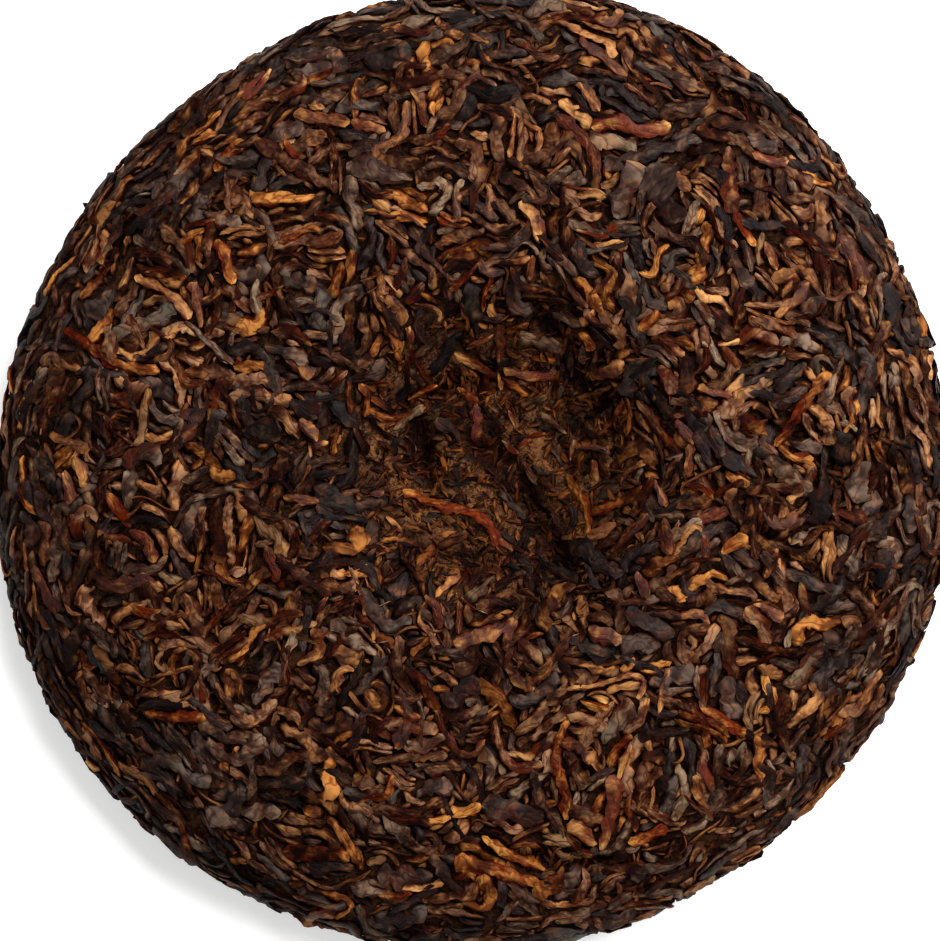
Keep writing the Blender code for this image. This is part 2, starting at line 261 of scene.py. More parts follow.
    def __post_init__(self) -> None:
        """Works out the outline from the middle of the top, over the edge, to the middle below."""
        radii = self.radius * np.sin(np.linspace(0.0, 0.5 * math.pi, 401))
        share = radii / self.radius
        rise = self.crest_height - self.edge_height
        top = self.edge_height + rise * np.sqrt(np.clip(1.0 - share**self.shoulder_power, 0.0, 1.0))
        below_share = np.clip((radii - self.rest_radius) / (self.radius - self.rest_radius), 0.0, 1.0)
        below = self.edge_height * (1.0 - np.sqrt(1.0 - below_share**self.keel_power))
        line = np.column_stack((np.append(radii, radii[-2::-1]), np.append(top, below[-2::-1])))
        ways = ways_along(line)
        self.length = float(ways[-1])
        self.ways = np.linspace(0.0, self.length, round(self.length / self.spacing) + 1)
        self.line = resampled(line, ways, self.ways)
        self.facing = square_to(unit(np.gradient(self.line, axis=0)))

    def outline_share(self, bearing: Array) -> Array:
        """How far the uneven edge stands out at each bearing, against the mean radius."""
        share = np.ones_like(bearing)
        for bulges, size, first in self.outline_waves:
            share += size * np.cos(bulges * (bearing - math.radians(first)))
        return share

    def dimple_share(self, x: Array, y: Array) -> Array:
        """1 on the floor of the dimple, 0 outside it."""
        off_x, off_y = x - self.dimple_centre[0], y - self.dimple_centre[1]
        turn = np.arctan2(off_y, off_x) - math.radians(self.dimple_steep_bearing)
        reach = self.dimple_radius - self.dimple_lean * np.cos(turn)
        return 1.0 - smoothstep(self.dimple_floor_share, 1.0, np.hypot(off_x, off_y) / reach)

    def crush(self, x: Array, y: Array) -> Array:
        """How finely the leaves are crushed: 1 over most of the dimple's floor, 0 outside it."""
        return smoothstep(*self.crush_range, self.dimple_share(x, y))

    def groove_depth(self, x: Array, y: Array, grooves: Rows, half_width: float) -> Array:
        """Depth of the deepest of some grooves at each place, all of one half width."""
        deepest = np.zeros_like(x)
        for *ends, depth in grooves:
            first = np.array(ends[:2]) * MM
            along = np.array(ends[2:]) * MM - first
            off_x, off_y = x - first[0], y - first[1]
            share = np.clip((off_x * along[0] + off_y * along[1]) / (along @ along), 0.0, 1.0)
            aside = np.hypot(off_x - share * along[0], off_y - share * along[1]) / half_width
            taper = 1.0 - (1.0 - self.groove_end_share) * np.abs(2.0 * share - 1.0) ** 3
            deepest = np.maximum(deepest, depth * MM * taper * np.exp(-aside * aside))
        return deepest

    def gloom(self, x: Array, y: Array) -> tuple[Array, Array]:
        """How dark the painted shade between the leaves is.

        Args:
            x: Places across.
            y: Places along.

        Returns:
            From 0 to 1: painted shade in the open holes, folds and cracks, whose deepest places are kept
                free of leaves, and painted shade on the steep walls and broad hollows of the dimple, less on
                the lobes.
        """
        sizes, bends = self.waver_sizes, self.waver_bends
        x, y = (x + self.waver * np.sin(y / sizes[0] + bends[0] * np.sin(x / sizes[1])),
                y + self.waver * np.sin(x / sizes[2] + bends[1] * np.sin(y / sizes[3])))
        deepest = max(fold[-1] for fold in self.knot_folds) * MM
        folds = self.groove_depth(x, y, self.knot_folds, self.fold_half_width) / deepest
        cracks = self.groove_depth(x, y, self.edge_cracks, self.crack_half_width) / self.crack_full_depth
        hollows = self.groove_depth(x, y, self.dark_hollows, self.hollow_half_width) / MM
        spans = tuple((*start, *end, 1.0) for start, end in zip(self.dark_arch, self.dark_arch[1:]))
        arch = self.groove_depth(x, y, spans, self.arch_half_width) / MM
        shades = self.groove_depth(x, y, self.broad_shades, self.shade_half_width) / MM
        open_share = 1.0 - self.lobe_lift * self.lobes(x, y)
        return np.maximum(np.maximum(folds, cracks), hollows), np.maximum(arch, shades) * open_share

    def lobes(self, x: Array, y: Array) -> Array:
        """Where painted light makes lumps of crushed leaf in the dimple look raised, from 0 to 1."""
        return self.groove_depth(x, y, self.light_lobes, self.lobe_half_width) / MM

    def knots(self, points: Array) -> Array:
        """How dark the crumbled leaves on the dimple's floor are, from lump to lump. It is 0 outside."""
        inside = smoothstep(*self.knot_reach, self.dimple_share(points[:, 0], points[:, 1]))
        inside *= 1.0 - self.lobe_lift * self.lobes(points[:, 0], points[:, 1])
        lumps = smoothstep(*self.knot_range, noise_at(points, self.knot_size, 23.0))
        return self.knot_share * inside * lumps

    def brightness(self, x: Array, y: Array) -> Array:
        """Painted light and shade on the leaves, against elsewhere: lighter on the level ring and the lobes,
        lighter or darker on some sides.
        """
        share = np.hypot(x, y) / self.radius
        bearing = np.degrees(np.arctan2(y, x))
        total = self.ring_brightness * plateau(self.ring_rise, self.ring_fall, share)
        outside = smoothstep(*self.side_start, share)
        wall = plateau(self.wall_rise, self.wall_fall, share)
        for rows, spread, sign, where in ((self.bright_sides, self.side_spread, 1.0, outside),
                                          (self.dim_sides, self.dim_spread, -1.0, wall)):
            for middle, size in rows:
                off = (bearing - middle + 180.0) % 360.0 - 180.0
                total = total + sign * size * np.exp(-(off / spread) ** 2) * where
        return total + self.lobe_brightness * self.lobes(x, y)

    def surface(self, way: Array, bearing: Array) -> Array:
        """Places on the pressed surface.

        Args:
            way: Along the outline, from the middle of the top.
            bearing: Round the cake.

        Returns:
            One point for each.
        """
        columns = (*self.line.T, *self.facing.T)
        radius, height, out_share, up_share = (np.interp(way, self.ways, column) for column in columns)
        points = np.column_stack((polar(radius * self.outline_share(bearing), bearing), height))
        upper = smoothstep(self.edge_height, self.edge_height + self.upper_margin, height)
        x, y = points[:, 0], points[:, 1]
        fold = self.groove_depth(x, y, self.knot_folds, self.fold_half_width)
        crack = self.groove_depth(x, y, self.edge_cracks, self.crack_half_width)
        hollow = self.dimple_share(x, y)
        swell = self.swell_height * noise_at(points, self.swell_size) * upper
        points += np.column_stack((polar(out_share, bearing), up_share)) * swell[:, None]
        points[:, 2] -= (hollow * self.dimple_depth + fold + crack) * upper
        points[:, 2] = np.maximum(points[:, 2], 0.0)
        return points


@dataclass
class Chart:
    """A flat map of one face: each place lies at its bearing, as far out as its way from the middle."""

    form: CakeForm
    face: Face
    reach: float
    probe: float = 0.9 * MM
    lump_size: float = 9 * MM
    lump_height: float = 1 * MM

    def surface(self, flat: Array) -> Array:
        """The places on the cake of some places of the map, with the lumps of its upper face."""
        way = np.hypot(flat[:, 0], flat[:, 1])
        bearing = np.arctan2(flat[:, 1], flat[:, 0])
        if self.face is Face.UNDER:
            return self.form.surface(self.form.length - way, bearing)
        points = self.form.surface(way, bearing)
        points[:, 2] += noise_at(points, self.lump_size, 3.0) * self.lump_height * (way < self.reach)
        return points

    def framed(self, flat: Array) -> tuple[Array, Array]:
        """The places on the cake of some places of the map, and the outward normals there."""
        shifts = [np.array(shift) * self.probe for shift in ((1, 0), (-1, 0), (0, 1), (0, -1))]
        east, west, north, south = (self.surface(flat + shift) for shift in shifts)
        normals = unit(np.cross(east - west, north - south))
        return self.surface(flat), -normals if self.face is Face.UNDER else normals


@dataclass
class LeafRound:
    """One round of laying: how large its leaves are, how many are tried and how they lie.

    The lift is the height of their middle lines over the surface, the thickness is against their width, the
    band is against the reach of the face, and no kind means that one is drawn for each.
    """

    length: Pair
    half_width: Pair
    shortest: float
    tries: int
    spread: float = 0.5
    crowd: float = 1.0
    lift: Pair = (0.0, 0.0)
    kind: Kind | None = None
    thickness: Pair = (0.6, 0.9)
    band: Pair = (0.0, 1.0)


@dataclass
class Leaf:
    """One leaf: its middle line on the map and what the sweep needs along it."""

    kind: Kind
    flat: Array
    half_width: Array
    lift: Array
    thickness: float
    tint: float
    roll: float
    twist: float
    seed: float
    # How much of the painted shade, and of the crush darkening, the leaf takes.
    gloom_share: float = 1.0


class LeafBed:
    """Lays leaves on a map, each where there is room, and keeps count of the room that is left."""

    CELL = 0.25 * MM
    STEP = 1 * MM
    MARGIN = 4 * MM
    ARM = 12
    SHAPES = 240
    CHOICES = 9
    HELD_SHARE = 0.86
    OPEN_SHARE = 0.72
    FIELD_CELL = 2 * MM
    GRAIN_SIZE = 13 * MM
    PATCH_SIZE = 7 * MM
    TUCK = 1.3 * MM
    LARGEST_SHIFT = 0.5 * MM
    BULK = 1.2
    LEVEL_WIDTH = 0.9 * MM
    FOLD_SHARE = 1.2
    STIFFNESS = 0.8
    LARGEST_DISC = 15
    CURVE = 0.04
    WAVE_LENGTHS = (5.0, 16.0)
    WAVE_BEND = 0.32
    HOOKS = (-0.5, -0.4, -0.3, 0.0, 0.0, 0.0, 0.0, 0.35, 0.45, 0.55)
    HOOK_LENGTH = 4.2
    KINKS = 3
    KINK = 0.42
    GRAIN_TURN = 9.0
    RIM_GRAIN = {Face.UPPER: (0.72, 3.0), Face.UNDER: (0.78, 1.6)}
    WEAKEST_HOLD = 0.6
    NARROWEST = 0.45
    END_WIDTHS = (0.6, 1.1)
    END_POWERS = (4.0, 12.0)
    LAST_RING = 0.52
    SLIMMING = 0.25
    SINKS = (0.0, 1.2)
    SINK_POWER = 4.5
    TILT = 0.17
    PATCH_TINT = 1.2
    ROLL = 0.42
    TWIST = 0.13
    CLOSING = (-0.3, 0.5)
    FOLD_THICKNESS = (0.6, 0.9)
    FOLD_STEP = 0.12
    FOLD_TINT = 0.08

    def __init__(self, chart: Chart, seed: int, ring_step: float) -> None:
        """Starts with an empty map.

        Args:
            chart: The map.
            seed: Of every random draw.
            ring_step: Between two rings of a leaf.
        """
        self.chart = chart
        self.ring_step = ring_step
        self.draw = np.random.default_rng(seed)
        self.half = math.ceil((chart.reach + self.MARGIN) / self.CELL)
        axis = np.arange(-self.half, self.half + 1) * self.CELL
        x, y = np.meshgrid(axis, axis, indexing="ij")
        self.taken = np.hypot(x, y) > chart.reach
        self.shut = self.taken | (chart.form.gloom(x, y)[0] > self.OPEN_SHARE)
        self.leaves: list[Leaf] = []
        self.kept: list[tuple[Array, Array]] = []
        self.shapes, self.shape_headings = self.make_shapes()
        self.field = self.make_field()
        steps = range(self.LARGEST_DISC + 1)
        self.discs = [np.argwhere(np.hypot(*np.mgrid[-r:r + 1, -r:r + 1]) <= r + 0.3) - r for r in steps]

    def clear(self) -> None:
        """Frees the map for leaves on top of the others, but not the open hollows and the kept leaves."""
        self.taken = self.shut.copy()
        for line, half_width in self.kept:
            self.mark(line, half_width)

    def random_place(self, band: Pair = (0.0, 1.0)) -> tuple[Array, float]:
        """A random place of a band of the map, and how far out it is."""
        out = self.chart.reach * math.sqrt(self.draw.uniform(band[0] ** 2, band[1] ** 2))
        bearing = self.draw.uniform(0.0, math.tau)
        return np.array((out * math.cos(bearing), out * math.sin(bearing))), out

    def leave_holes(self, count: int, sizes: Pair) -> None:
        """Keeps the folds, the hollows and some more spots free of leaves, so that the core shows, darkened
        with painted shade.

        Args:
            count: Of further spots.
            sizes: Least and most radius of a spot.
        """
        self.taken |= self.shut
        for _ in range(count):
            spot, _ = self.random_place()
            drift = self.draw.normal(0.0, 0.6 * MM, (3, 2))
            self.mark(spot + np.cumsum(drift, axis=0), np.full(3, self.draw.uniform(*sizes)))

    def make_shapes(self) -> tuple[Array, Array]:
        """Bent lines of every sort that a dry leaf takes: nearly straight, curved, wavy or hooked.

        Returns:
            The points of each line about its middle, and the heading at each point.
        """
        count = 2 * self.ARM + 1
        way = (np.arange(count) - self.ARM) * self.STEP / MM
        draw = self.draw
        size = (self.SHAPES, 1)
        curve = draw.normal(0.0, self.CURVE, size) * np.ones(count)
        waves = 2.0 * math.pi / draw.uniform(*self.WAVE_LENGTHS, size)
        bend = draw.uniform(0.0, self.WAVE_BEND, size)
        curve = curve + bend * np.sin(way * waves + draw.uniform(0, 6.28, size))
        hook_start = draw.uniform(1.0, 8.0, size)
        hook = draw.choice(self.HOOKS, size)
        curve = curve + hook * (way > hook_start) * (way < hook_start + self.HOOK_LENGTH)
        for _ in range(self.KINKS):
            kink = draw.normal(0.0, self.KINK, size)
            curve = curve + kink * (way == draw.integers(-8, 9, size))
        heading = np.cumsum(curve, axis=1)
        heading -= heading[:, self.ARM:self.ARM + 1]
        lines = np.cumsum(np.stack((np.cos(heading), np.sin(heading)), axis=2) * self.STEP, axis=1)
        return lines - lines[:, self.ARM:self.ARM + 1], heading

    def make_field(self) -> Array:
        """The grain, as the cosine and sine of twice its heading, on a coarse grid. It follows the rim."""
        count = math.ceil(self.half * self.CELL / self.FIELD_CELL)
        axis = np.arange(-count, count + 1) * self.FIELD_CELL
        x, y = np.meshgrid(axis, axis, indexing="ij")
        places = np.column_stack((x.ravel(), y.ravel(), np.zeros(x.size)))
        angle = self.GRAIN_TURN * noise_at(places, self.GRAIN_SIZE, self.draw.uniform(0.0, 50.0))
        angle = angle.reshape(x.shape)
        start, hold = self.RIM_GRAIN[self.chart.face]
        edge = smoothstep(start, 1.0, np.hypot(x, y) / self.chart.form.radius) * hold
        along = 2.0 * np.arctan2(y, x) + math.pi
        return np.stack((np.cos(angle) + edge * np.cos(along), np.sin(angle) + edge * np.sin(along)))

    def cells(self, flat: Array) -> tuple[Array, Array]:
        """The cells of some places of the map."""
        index = np.clip(np.rint(flat / self.CELL).astype(int) + self.half, 0, 2 * self.half)
        return index[..., 0], index[..., 1]

    def grain(self, place: Array) -> tuple[float, float]:
        """Heading of the grain at a place, and how strongly it holds."""
        middle = self.field.shape[1] // 2
        x, y = np.clip(np.rint(place / self.FIELD_CELL).astype(int) + middle, 0, 2 * middle)
        cosine, sine = self.field[:, x, y]
        return 0.5 * math.atan2(sine, cosine), math.hypot(cosine, sine)

    @staticmethod
    def first_taken(blocked: Array) -> Array:
        """How many cells come before the first one that is taken, in each row."""
        return np.argmax(np.concatenate((blocked, np.ones((len(blocked), 1), bool)), axis=1), axis=1)

    def best_line(self, place: Array, leaves: LeafRound, reach: float) -> tuple[Array, Array] | None:
        """The longest line through a place that keeps clear of the leaves laid so far.

        Args:
            place: On the map.
            leaves: The round that it belongs to.
            reach: Half the width that has to be clear.

        Returns:
            The line's points and headings, or None where there is no room.
        """
        draw = self.draw
        heading, hold = self.grain(place)
        turn = heading + draw.normal(0.0, leaves.spread / max(hold, self.WEAKEST_HOLD), self.CHOICES)
        picks = draw.integers(self.SHAPES, size=self.CHOICES)
        shape, bends = self.shapes[picks], self.shape_headings[picks] + turn[:, None]
        cosine, sine = np.cos(turn)[:, None], np.sin(turn)[:, None]
        lines = np.stack((
            place[0] + cosine * shape[..., 0] - sine * shape[..., 1],
            place[1] + sine * shape[..., 0] + cosine * shape[..., 1]), axis=2)
        side = np.stack((-np.sin(bends), np.cos(bends)), axis=2) * reach
        blocked = self.taken[self.cells(lines)]
        blocked |= self.taken[self.cells(lines + side)] | self.taken[self.cells(lines - side)]
        ahead = self.first_taken(blocked[:, self.ARM:])
        behind = self.first_taken(blocked[:, self.ARM::-1])
        wanted = max(round(draw.uniform(*leaves.length) / self.STEP), 2)
        room = np.minimum(ahead + behind - 1, wanted)
        turning = np.ptp(bends[:, self.ARM - 4:self.ARM + 5], axis=1) * reach / MM
        best = int(np.argmax(room + draw.uniform(0.0, 0.8, self.CHOICES) - self.STIFFNESS * turning))
        if ahead[best] == 0 or (room[best] - 1) * self.STEP < leaves.shortest:
            return None
        spare = int(room[best])
        fewest = max(spare - int(behind[best]) + 1, 1)
        most = min(int(ahead[best]), spare)
        first = self.ARM + int(draw.integers(fewest, most + 1)) - spare
        return lines[best, first:first + spare], bends[best, first:first + spare]

    def fitted(self, line: Array, heading: Array, half_width: float) -> tuple[Array, Array]:
        """Moves a line to the middle of the room it has, and finds how wide the leaf can be.

        Args:
            line: The line's points.
            heading: Its heading at each.
            half_width: Wanted.

        Returns:
            The moved points and the half width at each.
        """
        side = np.stack((-np.sin(heading), np.cos(heading)), axis=1)
        steps = np.arange(1, math.ceil(half_width / self.CELL) + 3)
        offsets = side[:, None, :] * (steps * self.CELL)[None, :, None]
        left, right = (self.first_taken(self.taken[self.cells(line[:, None, :] + way * offsets)]) * self.CELL
                       for way in (1.0, -1.0))
        width = np.minimum(0.5 * (left + right) + 0.5 * self.CELL, half_width)
        shift = np.where(left < width, left - width, 0.0) + np.where(right < width, width - right, 0.0)
        shift = np.clip(shift, -self.LARGEST_SHIFT, self.LARGEST_SHIFT)
        if len(line) > 2:
            soften(width)
            soften(shift)
        return line + side * shift[:, None], np.maximum(width, self.NARROWEST * half_width)

    def mark(self, line: Array, half_width: Array) -> None:
        """Takes the room of a leaf.

        Args:
            line: Its middle line.
            half_width: At each of its points.
        """
        fine = np.linspace(0, len(line) - 1, 3 * len(line))
        whole = np.arange(len(line))
        wide = np.interp(fine, whole, half_width) * self.HELD_SHARE
        columns, rows = self.cells(resampled(line, whole, fine))
        sizes = np.clip(np.rint(wide / self.CELL).astype(int), 0, self.LARGEST_DISC)
        for column, row, size in zip(columns, rows, sizes):
            disc = self.discs[size]
            self.taken[column + disc[:, 0], row + disc[:, 1]] = True

    def lay(self, kind: Kind, line: Array, half_width: Array, lift: Pair, thickness: Pair,
            sink: float = 0.9 * MM) -> None:
        """Lays one leaf along a line, with its ends tucked in.

        Args:
            kind: Of leaf.
            line: Its middle line on the map.
            half_width: At each point.
            lift: Least and most height of its middle line over the surface.
            thickness: Least and most thickness, against its width.
            sink: How far its ends go down.
        """
        draw = self.draw
        tuck = min(self.TUCK, 1.1 * float(half_width.mean()))
        before = line[0] + (line[0] - line[1]) / np.linalg.norm(line[0] - line[1]) * tuck
        after = line[-1] + (line[-1] - line[-2]) / np.linalg.norm(line[-1] - line[-2]) * tuck
        line = np.vstack((before, line, after))
        ways = ways_along(line)
        wide = np.concatenate((half_width[:1], half_width, half_width[-1:]))
        fine = np.linspace(0.0, ways[-1], max(round(ways[-1] / self.ring_step), 3) + 1)
        wide = np.interp(fine, ways, wide)
        line = resampled(line, ways, fine)
        if len(line) > 4:
            soften(line)
        share = np.linspace(-1.0, 1.0, len(line))
        ends = draw.uniform(*self.END_WIDTHS, 2)
        power = draw.uniform(*self.END_POWERS)
        taper = 1.0 - (1.0 - np.where(share < 0.0, *ends)) * np.abs(share) ** power
        taper *= 1.0 + np.clip(draw.normal(0.0, self.SLIMMING), -0.5, 0.5) * share
        taper[[0, -1]] *= self.LAST_RING
        taper *= self.BULK
        sinks = draw.uniform(*self.SINKS, 2) * sink
        drop = np.where(share < 0.0, *sinks) * np.abs(share) ** self.SINK_POWER
        height = draw.uniform(*lift) + draw.normal(0.0, self.TILT) * MM * share - drop
        middle = line[len(line) // 2]
        patch = noise.noise(Vector((*middle, 0.0)) / self.PATCH_SIZE + Vector((5.0, 0.0, 0.0)))
        tint = draw.uniform() + self.PATCH_TINT * patch
        roll = draw.normal(0.0, self.ROLL) * min(1.0, self.LEVEL_WIDTH / float(wide.mean()))
        self.leaves.append(Leaf(
            kind, line, wide * taper, height, draw.uniform(*thickness), tint, roll,
            draw.normal(0.0, self.TWIST) / self.STEP, draw.uniform(0.0, 40.0)))

    def pleat(self, kind: Kind, line: Array, half_width: Array, lift: Pair, count: int) -> None:
        """Lays one crumpled leaf as a few folds side by side, which draw together towards its ends.

        Args:
            kind: Of leaf.
            line: Its middle line on the map.
            half_width: At each point.
            lift: Least and most height over the surface.
            count: Of folds.
        """
        draw = self.draw
        side = square_to(unit(np.gradient(line, axis=0)))
        share = np.linspace(-1.0, 1.0, len(line))
        height = draw.uniform(*lift)
        closing = draw.uniform(*self.CLOSING, 2)
        spread = 1.0 - np.where(share < 0.0, *closing) * share * share
        tint = None
        for place in range(count):
            off = (2.0 * place / (count - 1) - 1.0) * (1.0 - 0.8 / count)
            first, last = draw.integers(0, 2, 2) if len(line) > 5 else (0, 0)
            rows = slice(first, len(line) - last)
            fold = (line + side * (off * half_width * spread)[:, None])[rows]
            level = height + draw.normal(0.0, self.FOLD_STEP) * MM
            wide = half_width[rows] * self.FOLD_SHARE / count
            self.lay(kind, fold, wide, (level, level), self.FOLD_THICKNESS)
            tint = self.leaves[-1].tint if tint is None else tint
            self.leaves[-1].tint = tint + draw.normal(0.0, self.FOLD_TINT)


